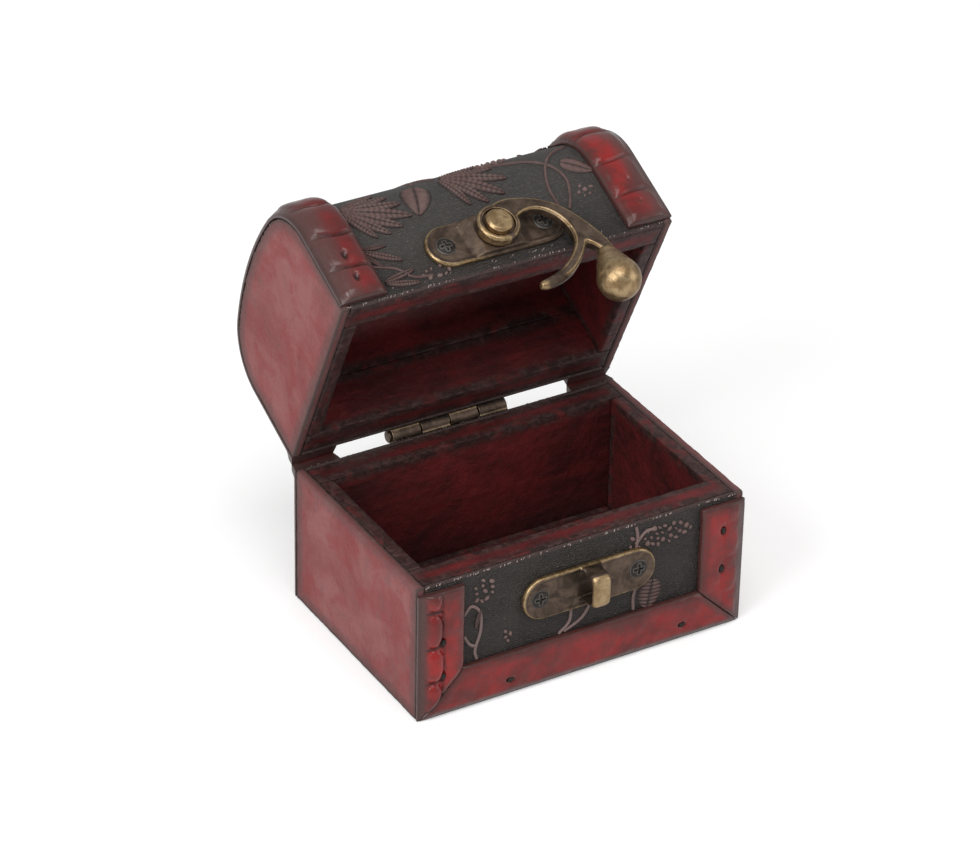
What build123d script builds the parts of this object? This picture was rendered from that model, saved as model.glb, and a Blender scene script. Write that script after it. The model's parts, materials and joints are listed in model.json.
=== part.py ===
from build123d import *

import os
from math import atan2, cos, degrees, radians, sin, sqrt, tan

# A small wooden treasure chest with an arched lid, a swing-hook clasp and a back hinge.
# The chest stands on its underside at z = 0, with its front towards -Y and its middle at x = 0.
# Every lid piece is made in the closed chest, and is then swung open about the hinge pin to the
# angle at which the lid leans back on its straps. All lengths are millimetres.

# Whole chest
chest_width = 76.0
chest_depth = 50.0
body_height = 31.0
lid_height = 31.7
parting_gap = 0.3
lid_open_angle = 65.0
overrun = 1.0

# Walls
end_panel_thickness = 2.0
end_liner_thickness = 3.0
board_thickness = 5.8
cover_thickness = 0.9
floor_thickness = 4.0
base_cover_thickness = 0.6
lid_corner_radius = 12.0
lid_crown_radius = 65.0
lid_board_height = 12.0
panel_edge_round = 0.4

# Leather straps along the edges
strap_width = 9.9
strap_edge_thickness = 0.9
strap_crown = 1.7
strap_side_margin = 0.45
strap_top_margin = 1.6
lid_strap_front_margin = 1.0
strap_stop_gap = 0.25
crease_pitch = 8.4
crease_radius = 1.6
crease_depth = 0.9
crease_start_share = 0.37

# Brads that hold the straps
brad_radius = 0.45
brad_head_radius = 0.75
brad_head_height = 0.2
brad_length = 6.0
brad_sink = 0.25
left_brad_heights = (17.6, 9.6)
right_brad_heights = (23.6, 14.4)
bottom_brad_places = (-17.0, 23.5)
bottom_brad_height = 3.6
lid_brad_heights = (5.5, 11.0)

# Hinge
knuckle_radius = 1.75
pin_radius = 0.7
pin_clearance = 0.05
pin_head_radius = 1.3
pin_head_height = 0.5
hinge_stand_off = 0.2
hinge_length = 27.4
hinge_middle = -1.5
knuckle_count = 4
knuckle_gap = 0.3
leaf_thickness = 0.7
leaf_height = 9.5
leaf_corner = 1.0
leaf_notch_gap = 0.2
hinge_screw_spacing = 16.0
hinge_screw_drop = 6.0
hinge_screw_radius = 0.7
hinge_screw_head_radius = 1.25
hinge_screw_length = 4.5

# Clasp plates
plate_width = 9.8
plate_thickness = 0.9
plate_edge_round = 0.3
hook_plate_length = 31.0
hook_plate_height = 7.7
hook_plate_rise = 1.4
rise_top_length = 9.0
rise_foot_length = 13.5
catch_plate_length = 31.0
catch_plate_shift = 1.3
hook_plate_screw_spacing = 22.4
catch_plate_screw_spacing = 23.0

# Clasp screws
screw_radius = 0.9
screw_head_radius = 2.1
screw_dome = 0.4
screw_length = 5.2
cross_length = 2.4
cross_width = 0.55
cross_depth = 0.7

# Catch loop
loop_width = 4.6
loop_wall = 0.9
loop_play = 4.2
loop_drop = 1.0
loop_offset = 0.8
loop_clearance = 0.7
loop_taper = 0.45

# Swing hook and its rivet
rivet_shank_radius = 1.5
rivet_clearance = 0.06
rivet_head_radius = 2.85
rivet_head_height = 1.6
rivet_head_chamfer = 0.5
rivet_head_lift = 0.08
rivet_length = 5.0
hook_lift = 0.15
hook_thickness = 2.3
hook_edge_round = 0.35
ring_radius = 4.5
ring_recess_radius = 3.4
ring_recess_depth = 0.7
claw_outer_radius = 17.9
claw_width = 2.2
claw_tip_width = 1.2
claw_tip_angle = -74.0
claw_taper_angle = 17.0
claw_root_angle = -38.0
crotch_angle = -32.5
hook_outer_shares = (
    (0.000, 0.229), (0.182, 0.282), (0.356, 0.257), (0.516, 0.203), (0.662, 0.123),
    (0.792, 0.013), (0.901, -0.136), (0.998, -0.308), (1.068, -0.472), (1.115, -0.651),
)
hook_tail_shares = ((1.103, -0.838), (1.034, -1.039))
hook_neck_shares = ((0.911, -1.050), (0.966, -0.872), (0.980, -0.749), (0.950, -0.654))
hook_inner_shares = (
    (0.746, -0.358), (0.729, -0.229), (0.676, -0.101), (0.592, 0.000),
    (0.497, 0.053), (0.385, 0.061), (0.296, 0.034), (0.223, -0.011),
)
ball_radius = 4.5
ball_clearance = 0.35
ball_place_shares = (0.899, -1.168)
neck_start_shares = (1.025, -0.720)
neck_start_radius = 1.15
neck_end_radius = 2.5

# Places worked out from the sizes
half_width = chest_width / 2
half_depth = chest_depth / 2
inside_half = half_width - end_panel_thickness
liner_face = inside_half - end_liner_thickness
wall_thickness = cover_thickness + board_thickness
board_face = half_depth - wall_thickness
lid_rim = body_height + parting_gap
hinge_y = half_depth + knuckle_radius + hinge_stand_off
hinge_z = body_height + parting_gap / 2
corner_side = half_depth - lid_corner_radius
crown_centre = lid_rim + lid_height - lid_crown_radius
corner_height = crown_centre + sqrt((lid_crown_radius - lid_corner_radius) ** 2 - corner_side**2)
crown_angle = degrees(atan2(corner_height - crown_centre, corner_side))
lid_board_top = lid_rim + lid_board_height

strap_thickness = strap_edge_thickness + strap_crown
strap_outer_edge = half_width - strap_side_margin
strap_middle = strap_outer_edge - strap_width / 2
strap_inner_edge = strap_outer_edge - strap_width
strap_past_pin = half_depth + strap_thickness - hinge_y
strap_stop = strap_past_pin * tan(radians(lid_open_angle / 2)) + strap_stop_gap
front_strap_top = body_height - strap_top_margin
back_strap_top = hinge_z - strap_stop
lid_strap_start = lid_rim + lid_strap_front_margin
lid_strap_end = hinge_z + strap_stop

hinge_left = hinge_middle - hinge_length / 2
knuckle_pitch = hinge_length / knuckle_count

hook_height = lid_rim + hook_plate_height
hook_back = plate_thickness + hook_plate_rise + hook_lift
hook_front = hook_back + hook_thickness
recess_floor = hook_front - ring_recess_depth
claw_inner_radius = claw_outer_radius - claw_width
loop_window = claw_width + loop_play
loop_reach = hook_front + loop_clearance + loop_wall
loop_height = hook_height - claw_inner_radius - claw_width / 2 - loop_drop
catch_height = loop_height - loop_offset
ball_offset = plate_thickness + screw_dome + ball_clearance + ball_radius

front_plane = Plane.XZ.offset(half_depth)
back_plane = Plane(origin=(0, half_depth, 0), x_dir=(-1, 0, 0), z_dir=(0, 1, 0))
hinge_axis = Axis((0, hinge_y, hinge_z), (1, 0, 0))
body_pieces = []
lid_pieces = []


def finish(piece, label, pieces):
    """Labels a piece and files it with the body's or the lid's pieces."""
    piece.part.label = label
    pieces.append(piece.part)


def board(x_range, y_range, z_range):
    """Adds a board between two corners to the piece in hand."""
    ranges = (x_range, y_range, z_range)
    with Locations(tuple((low + high) / 2 for low, high in ranges)):
        Box(*[high - low for low, high in ranges])


def spot(plane, x, y, lift=0):
    """The plane that lies at a place on another plane, lifted off it."""
    return Plane(origin=plane.from_local_coords((x, y, lift)), x_dir=plane.x_dir, z_dir=plane.z_dir)


def lid_face(x, inset, base):
    """The face at x inside the arched outline, taken in by inset, above the height base."""
    half = half_depth - inset
    corner = lid_corner_radius - inset
    with BuildSketch(Plane.YZ.offset(x)) as face:
        with BuildLine():
            Line((half, base), (half, corner_height))
            CenterArc((corner_side, corner_height), corner, 0, crown_angle)
            CenterArc((0, crown_centre), lid_crown_radius - inset, crown_angle, 180 - 2 * crown_angle)
            CenterArc((-corner_side, corner_height), corner, 180 - crown_angle, crown_angle)
            Line((-half, corner_height), (-half, base))
            Line((-half, base), (half, base))
        make_face()
    return face.sketch


# Brads

def body_brad_planes(plane, hand):
    """The brad places on the front (hand 1) or, mirrored, on the back (hand -1) of the body."""
    side_crown = strap_thickness - brad_sink
    planes = [spot(plane, -hand * strap_middle, z, side_crown) for z in left_brad_heights]
    planes += [spot(plane, hand * strap_middle, z, side_crown) for z in right_brad_heights]
    crown_radius = ((strap_width / 2) ** 2 + strap_crown**2) / (2 * strap_crown)
    off_middle = strap_width / 2 - bottom_brad_height
    crown_drop = crown_radius - sqrt(crown_radius**2 - off_middle**2)
    planes += [spot(plane, hand * x, bottom_brad_height, side_crown - crown_drop) for x in bottom_brad_places]
    return planes


def lid_brad_planes(plane):
    """The brad places on the front or the back of the lid."""
    places = [(side * strap_middle, lid_rim + z) for side in (-1, 1) for z in lid_brad_heights]
    return [spot(plane, x, z, strap_thickness - brad_sink) for x, z in places]


def brad_holes(planes):
    """Cuts the holes that the brads fill, with room over their sunk heads."""
    upwards = (Align.CENTER, Align.CENTER, Align.MIN)
    with Locations(*planes):
        Hole(brad_radius, depth=brad_length)
        Cylinder(brad_head_radius, brad_sink + overrun, align=upwards, mode=Mode.SUBTRACT)


def brads(planes):
    """Adds a brad at each place, a shank with a small flat head."""
    with Locations(*planes):
        Cylinder(brad_radius, brad_length, align=(Align.CENTER, Align.CENTER, Align.MAX))
        Cylinder(brad_head_radius, brad_head_height, align=(Align.CENTER, Align.CENTER, Align.MIN))


# Screws

def screw_holes(planes, radius, length):
    """Cuts plain holes as deep as the screws are long."""
    with Locations(*planes):
        Hole(radius, depth=length)


def countersinks(planes, radius, head_radius, depth):
    """Cuts screw holes with a cone for the head through a plate."""
    downwards = (Align.CENTER, Align.CENTER, Align.MAX)
    with Locations(*planes):
        Hole(radius, depth=depth + overrun)
        Cone(radius, head_radius, depth, align=downwards, mode=Mode.SUBTRACT)


def screws(planes, radius, head_radius, head_depth, length):
    """Countersunk screws with a low domed head and a cross recess."""
    downwards = (Align.CENTER, Align.CENTER, Align.MAX)
    size_share = head_radius / screw_head_radius
    dome = screw_dome * size_share
    with BuildPart() as piece:
        with Locations(*planes):
            Cylinder(radius, length, align=downwards)
            Cone(radius, head_radius, head_depth, align=downwards)
        for plane in planes:
            with BuildSketch(Plane(origin=plane.origin, x_dir=plane.x_dir, z_dir=-plane.y_dir)):
                with BuildLine():
                    Line((0, 0), (head_radius, 0))
                    TangentArc((0, dome), (head_radius, 0), tangent=(1, 0))
                    Line((0, dome), (0, 0))
                make_face()
            revolve(axis=Axis(plane.origin, plane.z_dir))
        with Locations(*[plane.offset(dome) for plane in planes]):
            for across, along in ((cross_length, cross_width), (cross_width, cross_length)):
                Box(
                    across * size_share,
                    along * size_share,
                    cross_depth * size_share,
                    align=downwards,
                    mode=Mode.SUBTRACT,
                )
    return piece


catch_screw_planes = [
    spot(front_plane, catch_plate_shift + side * catch_plate_screw_spacing / 2, catch_height, plate_thickness)
    for side in (-1, 1)
]
hook_screw_planes = [
    spot(front_plane, side * hook_plate_screw_spacing / 2, hook_height, plate_thickness) for side in (-1, 1)
]
hinge_screw_planes = {
    direction: [
        spot(
            back_plane,
            side * hinge_screw_spacing / 2 - hinge_middle,
            hinge_z + direction * hinge_screw_drop,
            leaf_thickness,
        )
        for side in (-1, 1)
    ]
    for direction in (-1, 1)
}

# Body walls and floor

def end_panel(side):
    """The thin outer panel of one end of the body."""
    with BuildPart() as piece:
        board(
            sorted((side * inside_half, side * half_width)),
            (-half_depth, half_depth),
            (0, body_height),
        )
        outer_edges = piece.edges().group_by(Axis.X)[-1 if side > 0 else 0]
        fillet(outer_edges.filter_by(Axis.Y).sort_by(Axis.Z)[-1:], panel_edge_round)
    return piece


def end_liner(side):
    """The thicker board behind an end panel, between the front and back boards."""
    with BuildPart() as piece:
        board(
            sorted((side * liner_face, side * inside_half)),
            (-board_face, board_face),
            (base_cover_thickness, body_height),
        )
    return piece


def wall_board(plane, facing):
    """The front or back board of the body, bored for its brads and screws."""
    with BuildPart() as piece:
        board(
            (-inside_half, inside_half),
            sorted((facing * board_face, facing * (half_depth - cover_thickness))),
            (base_cover_thickness, body_height),
        )
        wall_holes(plane, facing)
    return piece


def wall_cover(plane, facing):
    """The embossed cover on the front or the back of the body."""
    with BuildPart() as piece:
        board(
            (-inside_half, inside_half),
            sorted((facing * (half_depth - cover_thickness), facing * half_depth)),
            (0, body_height),
        )
        wall_holes(plane, facing)
    return piece


def wall_holes(plane, facing):
    """Bores a body wall for the brads, and for the clasp's or the hinge's screws."""
    brad_holes(body_brad_planes(plane, -facing))
    if facing < 0:
        screw_holes(catch_screw_planes, screw_radius, screw_length)
    else:
        screw_holes(hinge_screw_planes[-1], hinge_screw_radius, hinge_screw_length)


for side, hand in ((-1, "left"), (1, "right")):
    finish(end_panel(side), f"{hand}_end_panel", body_pieces)
    finish(end_liner(side), f"{hand}_end_liner", body_pieces)

for plane, facing, face in ((front_plane, -1, "front"), (back_plane, 1, "back")):
    finish(wall_board(plane, facing), f"{face}_board", body_pieces)
    finish(wall_cover(plane, facing), f"{face}_cover", body_pieces)

with BuildPart() as floor_board:
    board(
        (-liner_face, liner_face),
        (-board_face, board_face),
        (base_cover_thickness, base_cover_thickness + floor_thickness),
    )
finish(floor_board, "floor_board", body_pieces)

with BuildPart() as base_cover:
    board(
        (-inside_half, inside_half),
        (cover_thickness - half_depth, half_depth - cover_thickness),
        (0, base_cover_thickness),
    )
finish(base_cover, "base_cover", body_pieces)

# Straps

def strap_section(plane):
    """A strap's section, flat against the chest, with its crown towards local -Y."""
    half = strap_width / 2
    with BuildSketch(plane) as section:
        with BuildLine():
            Line((-half, 0), (-half, -strap_edge_thickness))
            ThreePointArc((-half, -strap_edge_thickness), (0, -strap_thickness), (half, -strap_edge_thickness))
            Line((half, -strap_edge_thickness), (half, 0))
            Line((half, 0), (-half, 0))
        make_face()
    return section.sketch


def creases(planes):
    """Presses a rounded crease across the crown of a strap at each plane."""
    height = strap_thickness + crease_radius - crease_depth
    for plane in planes:
        bottom = plane.from_local_coords((0, -height, 0))
        with Locations(Plane(origin=bottom, x_dir=plane.z_dir, z_dir=plane.x_dir)):
            Cylinder(crease_radius, strap_width, mode=Mode.SUBTRACT)


def mitre_plane(side):
    """The plane on which a corner strap and a bottom strap meet."""
    return Plane(origin=(side * strap_outer_edge, 0, 0), x_dir=(0, 1, 0), z_dir=(side, 0, 1))


def corner_strap(plane, side, facing, top):
    """The upright strap at one corner of the body, mitred at its foot."""
    foot = Plane(
        origin=(side * strap_middle, facing * half_depth, 0),
        x_dir=(-facing, 0, 0),
        z_dir=(0, 0, 1),
    )
    crease_count = round(top / crease_pitch)
    heights = [crease_pitch * (number + crease_start_share) for number in range(crease_count)]
    with BuildPart() as piece:
        extrude(strap_section(foot), amount=top)
        creases([foot.offset(height) for height in heights])
        split(bisect_by=mitre_plane(side), keep=Keep.TOP)
        brad_holes(body_brad_planes(plane, -facing))
    return piece


def bottom_strap(plane, facing):
    """The strap along the foot of the front or the back, mitred at both ends."""
    start = Plane(
        origin=(-strap_outer_edge, facing * half_depth, strap_width / 2),
        x_dir=(0, 0, facing),
        z_dir=(1, 0, 0),
    )
    with BuildPart() as piece:
        extrude(strap_section(start), amount=2 * strap_outer_edge)
        split(bisect_by=mitre_plane(-1), keep=Keep.BOTTOM)
        split(bisect_by=mitre_plane(1), keep=Keep.BOTTOM)
        brad_holes(body_brad_planes(plane, -facing))
    return piece


def lid_strap(side):
    """The strap over the arch at one end of the lid."""
    start = Plane(
        origin=(side * strap_middle, -half_depth, lid_strap_start),
        x_dir=(1, 0, 0),
        z_dir=(0, 0, 1),
    )
    with BuildPart() as piece:
        with BuildLine(Plane.YZ.offset(side * strap_middle)) as arch:
            Line((-half_depth, lid_strap_start), (-half_depth, corner_height))
            CenterArc((-corner_side, corner_height), lid_corner_radius, 180, -crown_angle)
            CenterArc((0, crown_centre), lid_crown_radius, 180 - crown_angle, 2 * crown_angle - 180)
            CenterArc((corner_side, corner_height), lid_corner_radius, crown_angle, -crown_angle)
            Line((half_depth, corner_height), (half_depth, lid_strap_end))
        path = arch.wires()[0]
        sweep(strap_section(start), path=path)
        crease_count = round(path.length / crease_pitch)
        shares = [(number + 1 - crease_start_share) / crease_count for number in range(crease_count)]
        creases(
            [
                Plane(origin=path.position_at(share), x_dir=(1, 0, 0), z_dir=path.tangent_at(share))
                for share in shares
            ]
        )
        brad_holes(lid_brad_planes(front_plane))
        brad_holes(lid_brad_planes(back_plane))
    return piece


for plane, facing, face, top in (
    (front_plane, -1, "front", front_strap_top),
    (back_plane, 1, "back", back_strap_top),
):
    for side, hand in ((-1, "left"), (1, "right")):
        finish(corner_strap(plane, side, facing, top), f"{face}_{hand}_strap", body_pieces)
    finish(bottom_strap(plane, facing), f"{face}_bottom_strap", body_pieces)
    with BuildPart() as wall_brads:
        brads(body_brad_planes(plane, -facing))
    finish(wall_brads, f"{face}_brads", body_pieces)

for side, hand in ((-1, "left"), (1, "right")):
    finish(lid_strap(side), f"lid_{hand}_strap", lid_pieces)

with BuildPart() as lid_brads:
    brads(lid_brad_planes(front_plane))
    brads(lid_brad_planes(back_plane))
finish(lid_brads, "lid_brads", lid_pieces)

# Lid walls

for side, hand in ((-1, "left"), (1, "right")):
    with BuildPart() as lid_end_panel:
        extrude(lid_face(side * inside_half, 0, lid_rim), amount=side * end_panel_thickness)
    finish(lid_end_panel, f"lid_{hand}_end_panel", lid_pieces)

    with BuildPart() as lid_end_liner:
        extrude(lid_face(side * liner_face, wall_thickness, lid_rim), amount=side * end_liner_thickness)
    finish(lid_end_liner, f"lid_{hand}_end_liner", lid_pieces)

for plane, facing, face in ((front_plane, -1, "front"), (back_plane, 1, "back")):
    with BuildPart() as lid_wall_board:
        board(
            (-inside_half, inside_half),
            sorted((facing * board_face, facing * (half_depth - cover_thickness))),
            (lid_rim, lid_board_top),
        )
        brad_holes(lid_brad_planes(plane))
        if facing < 0:
            screw_holes(hook_screw_planes, screw_radius, screw_length)
            screw_holes([spot(plane, 0, hook_height)], rivet_shank_radius, rivet_length)
        else:
            screw_holes(hinge_screw_planes[1], hinge_screw_radius, hinge_screw_length)
    finish(lid_wall_board, f"lid_{face}_board", lid_pieces)

with BuildPart() as lid_top_board:
    extrude(lid_face(0, cover_thickness, lid_board_top), amount=inside_half, both=True)
    extrude(
        lid_face(0, wall_thickness, lid_board_top),
        amount=inside_half,
        both=True,
        mode=Mode.SUBTRACT,
    )
finish(lid_top_board, "lid_top_board", lid_pieces)

with BuildPart() as lid_cover:
    extrude(lid_face(0, 0, lid_rim), amount=inside_half, both=True)
    extrude(lid_face(0, cover_thickness, lid_rim), amount=inside_half, both=True, mode=Mode.SUBTRACT)
    for plane in (front_plane, back_plane):
        brad_holes(lid_brad_planes(plane))
    screw_holes(hook_screw_planes, screw_radius, screw_length)
    screw_holes([spot(front_plane, 0, hook_height)], rivet_shank_radius, rivet_length)
    screw_holes(hinge_screw_planes[1], hinge_screw_radius, hinge_screw_length)
finish(lid_cover, "lid_cover", lid_pieces)

# Hinge

def hinge_leaf(direction, first, bore_radius):
    """The leaf below the pin (direction -1) or above it (1), with every second knuckle from first."""
    notch = knuckle_radius + leaf_notch_gap
    hinge_right = hinge_left + hinge_length
    leaf_face = (half_depth, half_depth + leaf_thickness)
    with BuildPart() as piece:
        heights = sorted((hinge_z + direction * notch, hinge_z + direction * leaf_height))
        board((hinge_left, hinge_right), leaf_face, heights)
        far_corners = piece.edges().filter_by(Axis.Y).group_by(Axis.Z)[-1 if direction > 0 else 0]
        fillet(far_corners, leaf_corner)
        for number in range(first, knuckle_count, 2):
            low = hinge_left + number * knuckle_pitch + knuckle_gap / 2
            high = low + knuckle_pitch - knuckle_gap
            board((low, high), leaf_face, sorted((hinge_z, hinge_z + direction * notch)))
            with Locations(Plane(origin=(low, hinge_y, hinge_z), x_dir=(0, 1, 0), z_dir=(1, 0, 0))):
                Cylinder(knuckle_radius, high - low, align=(Align.CENTER, Align.CENTER, Align.MIN))
        with Locations(Plane(origin=(hinge_right, hinge_y, hinge_z), x_dir=(0, 1, 0), z_dir=(1, 0, 0))):
            Hole(bore_radius, depth=hinge_length)
        countersinks(
            hinge_screw_planes[direction], hinge_screw_radius, hinge_screw_head_radius, leaf_thickness
        )
    return piece


finish(hinge_leaf(-1, 1, pin_radius), "hinge_body_leaf", body_pieces)
finish(hinge_leaf(1, 0, pin_radius + pin_clearance), "hinge_lid_leaf", lid_pieces)

with BuildPart() as hinge_pin:
    with Locations(Plane(origin=(hinge_left, hinge_y, hinge_z), x_dir=(0, 1, 0), z_dir=(1, 0, 0))):
        Cylinder(pin_radius, hinge_length, align=(Align.CENTER, Align.CENTER, Align.MIN))
        Cylinder(pin_head_radius, pin_head_height, align=(Align.CENTER, Align.CENTER, Align.MAX))
    fillet(hinge_pin.edges().group_by(Axis.X)[0], pin_head_height / 2)
finish(hinge_pin, "hinge_pin", body_pieces)

for direction, label, pieces in (
    (-1, "hinge_body_screws", body_pieces),
    (1, "hinge_lid_screws", lid_pieces),
):
    hinge_screws = screws(
        hinge_screw_planes[direction],
        hinge_screw_radius,
        hinge_screw_head_radius,
        leaf_thickness,
        hinge_screw_length,
    )
    finish(hinge_screws, label, pieces)

# Clasp

with BuildPart() as catch_plate:
    with BuildSketch(front_plane):
        with Locations((catch_plate_shift, catch_height)):
            SlotOverall(catch_plate_length, plate_width)
    extrude(amount=plate_thickness)
    fillet(catch_plate.faces().sort_by(Axis.Y)[0].edges(), plate_edge_round)
    loop_side = Plane(
        origin=(catch_plate_shift - loop_width / 2, -half_depth, loop_height),
        x_dir=(0, -1, 0),
        z_dir=(1, 0, 0),
    )
    loop_half = loop_window / 2 + loop_wall
    with BuildSketch(loop_side) as loop_profile:
        with BuildLine():
            Polyline(
                (0, -loop_half),
                (loop_reach, loop_taper - loop_half),
                (loop_reach, loop_half - loop_taper),
                (0, loop_half),
                close=True,
            )
        make_face()
        fillet(loop_profile.vertices().group_by(Axis.Y)[0], 2 * loop_wall)
    extrude(amount=loop_width)
    with BuildSketch(loop_side) as loop_hole:
        with BuildLine():
            Polyline(
                (plate_thickness, loop_wall - loop_half),
                (loop_reach - loop_wall, loop_wall + loop_taper - loop_half),
                (loop_reach - loop_wall, loop_half - loop_wall - loop_taper),
                (plate_thickness, loop_half - loop_wall),
                close=True,
            )
        make_face()
        fillet(loop_hole.vertices().group_by(Axis.Y)[0], loop_wall / 2)
    extrude(amount=loop_width, mode=Mode.SUBTRACT)
    countersinks(catch_screw_planes, screw_radius, screw_head_radius, plate_thickness)
finish(catch_plate, "catch_plate", body_pieces)
finish(
    screws(catch_screw_planes, screw_radius, screw_head_radius, plate_thickness, screw_length),
    "catch_screws",
    body_pieces,
)

with BuildPart() as hook_plate:
    with BuildSketch(front_plane):
        with Locations((0, hook_height)):
            SlotOverall(hook_plate_length, plate_width)
    extrude(amount=plate_thickness)
    fillet(hook_plate.faces().sort_by(Axis.Y)[0].edges(), plate_edge_round)
    rise_side = Plane(
        origin=(0, -half_depth - plate_thickness, hook_height),
        x_dir=(1, 0, 0),
        z_dir=(0, 0, 1),
    )
    with BuildSketch(rise_side) as rise_profile:
        with BuildLine():
            Polyline(
                (-rise_foot_length / 2, 0),
                (-rise_top_length / 2, -hook_plate_rise),
                (rise_top_length / 2, -hook_plate_rise),
                (rise_foot_length / 2, 0),
                close=True,
            )
        make_face()
        fillet(rise_profile.vertices().group_by(Axis.Y)[0], plate_thickness)
    extrude(amount=plate_width / 2 - plate_edge_round, both=True)
    with Locations(spot(front_plane, 0, hook_height, hook_back)):
        Hole(rivet_shank_radius, depth=hook_back + overrun)
    countersinks(hook_screw_planes, screw_radius, screw_head_radius, plate_thickness)
finish(hook_plate, "hook_plate", lid_pieces)
finish(
    screws(hook_screw_planes, screw_radius, screw_head_radius, plate_thickness, screw_length),
    "hook_plate_screws",
    lid_pieces,
)

with BuildPart() as rivet:
    with Locations(spot(front_plane, 0, hook_height, recess_floor + rivet_head_lift)):
        shank_length = recess_floor + rivet_head_lift + rivet_length
        Cylinder(rivet_shank_radius, shank_length, align=(Align.CENTER, Align.CENTER, Align.MAX))
        Cylinder(rivet_head_radius, rivet_head_height, align=(Align.CENTER, Align.CENTER, Align.MIN))
    chamfer(rivet.edges().group_by(Axis.Y)[0], rivet_head_chamfer)
finish(rivet, "hook_rivet", lid_pieces)


def hook_points(shares):
    """Places on the hook as shares of the claw's outer radius, from the rivet."""
    return [(claw_outer_radius * across, claw_outer_radius * up) for across, up in shares]


def claw_point(radius, angle):
    """A place at a radius and an angle from the rivet."""
    return (radius * cos(radians(angle)), radius * sin(radians(angle)))


with BuildPart() as swing_hook:
    hook_plane = spot(front_plane, 0, hook_height, hook_back)
    crotch = claw_point(claw_outer_radius, crotch_angle)
    taper_start = claw_tip_angle + claw_taper_angle
    tip = claw_point(claw_inner_radius + claw_tip_width, claw_tip_angle)
    with BuildSketch(hook_plane):
        with BuildLine():
            outer_edge = Spline(*hook_points(hook_outer_shares + hook_tail_shares))
            neck_edge = Spline(*hook_points(hook_neck_shares), crotch)
            Line(outer_edge @ 1, neck_edge @ 0)
            claw_back = CenterArc((0, 0), claw_outer_radius, crotch_angle, taper_start - crotch_angle)
            TangentArc(claw_back @ 1, tip, tangent=claw_back % 1)
            claw_front = CenterArc(
                (0, 0), claw_inner_radius, claw_tip_angle, claw_root_angle - claw_tip_angle
            )
            Line(tip, claw_front @ 0)
            inner_edge = Spline(claw_front @ 1, *hook_points(hook_inner_shares))
            Line(inner_edge @ 1, outer_edge @ 0)
        make_face()
        Circle(ring_radius)
    extrude(amount=hook_thickness)
    chamfer(swing_hook.faces().sort_by(Axis.Y)[0].edges(), hook_edge_round)
    ball_x, ball_z = hook_points([ball_place_shares])[0]
    neck_x, neck_z = hook_points([neck_start_shares])[0]
    ball_centre = hook_plane.from_local_coords((ball_x, ball_z, ball_offset - hook_back))
    neck_start = hook_plane.from_local_coords((neck_x, neck_z, hook_thickness / 2))
    with Locations(ball_centre):
        Sphere(ball_radius)
    neck_length = (ball_centre - neck_start).length
    with Locations(Plane(origin=neck_start, z_dir=ball_centre - neck_start)):
        Cone(
            neck_start_radius,
            neck_end_radius,
            neck_length,
            align=(Align.CENTER, Align.CENTER, Align.MIN),
        )
    with Locations(hook_plane.offset(hook_thickness)):
        Hole(rivet_shank_radius + rivet_clearance, depth=hook_thickness)
        Hole(ring_recess_radius, depth=ring_recess_depth)
finish(swing_hook, "swing_hook", lid_pieces)

os.makedirs("parts", exist_ok=True)
for piece in body_pieces:
    export_step(piece, f"parts/{piece.label}.step")
for piece in lid_pieces:
    opened = piece.rotate(hinge_axis, -lid_open_angle)
    opened.label = piece.label
    export_step(opened, f"parts/{opened.label}.step")
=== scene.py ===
# %% [markdown]
# # A small treasure chest
# This file dresses the frame of a wooden treasure chest: stained boards, a dark embossed cover,
# creased red straps and antiqued brass. The frame gives every piece its place and its size, so
# each step below only adds what a hand would see and feel: worn edges, grain, relief and finish.

# %% The frame
import json
import math
from contextlib import contextmanager

import bpy
import numpy as np
from mathutils import Matrix, Vector, kdtree


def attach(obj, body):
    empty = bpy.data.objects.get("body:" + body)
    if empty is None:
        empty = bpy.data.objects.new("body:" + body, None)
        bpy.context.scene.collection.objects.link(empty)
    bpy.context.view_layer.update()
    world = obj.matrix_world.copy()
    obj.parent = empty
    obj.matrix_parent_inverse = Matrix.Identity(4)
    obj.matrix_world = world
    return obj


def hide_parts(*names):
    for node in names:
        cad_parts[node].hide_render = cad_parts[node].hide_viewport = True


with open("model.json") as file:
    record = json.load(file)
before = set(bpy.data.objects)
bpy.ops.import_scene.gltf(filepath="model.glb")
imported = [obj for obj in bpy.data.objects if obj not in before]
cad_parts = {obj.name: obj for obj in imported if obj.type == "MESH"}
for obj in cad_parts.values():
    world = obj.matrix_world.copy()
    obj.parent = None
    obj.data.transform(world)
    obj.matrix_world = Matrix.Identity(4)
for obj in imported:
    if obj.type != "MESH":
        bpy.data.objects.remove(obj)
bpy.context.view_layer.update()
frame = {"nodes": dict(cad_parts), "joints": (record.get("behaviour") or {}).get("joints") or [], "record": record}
nodes = frame["nodes"]
bodies = frame["record"]["behaviour"]["bodies"]
body_of = {node: body for body, members in bodies.items() for node in members}

# %% [markdown]
# ## The closed chest
# The lid is stored open, which is awkward to model on: its front leans back by 65 degrees. So
# every lid piece is shaped in the closed chest, upright, and is then turned open about the hinge
# pin as its last step. Each piece also remembers, in an attribute named place, where its points
# lie in the closed chest in millimetres. Grain, weave and stains read that attribute, so they
# follow the board and not the pose.

# %% Closed and open
MM = 0.001
lid_joint = next(joint for joint in frame["joints"] if joint["name"] == "lid_hinge")
pin_place = Vector(lid_joint["pos_m"])
open_angle = -math.radians(lid_joint["range_deg"][0])
opening = (
    Matrix.Translation(pin_place)
    @ Matrix.Rotation(-open_angle, 4, "X")
    @ Matrix.Translation(-pin_place)
)
closing = opening.inverted()
print("lid opens by", round(math.degrees(open_angle)), "degrees about", tuple(pin_place))


# %% Small helpers
def activate(piece):
    """Makes one object the only selected and active one."""
    bpy.ops.object.select_all(action="DESELECT")
    piece.select_set(True)
    bpy.context.view_layer.objects.active = piece


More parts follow.
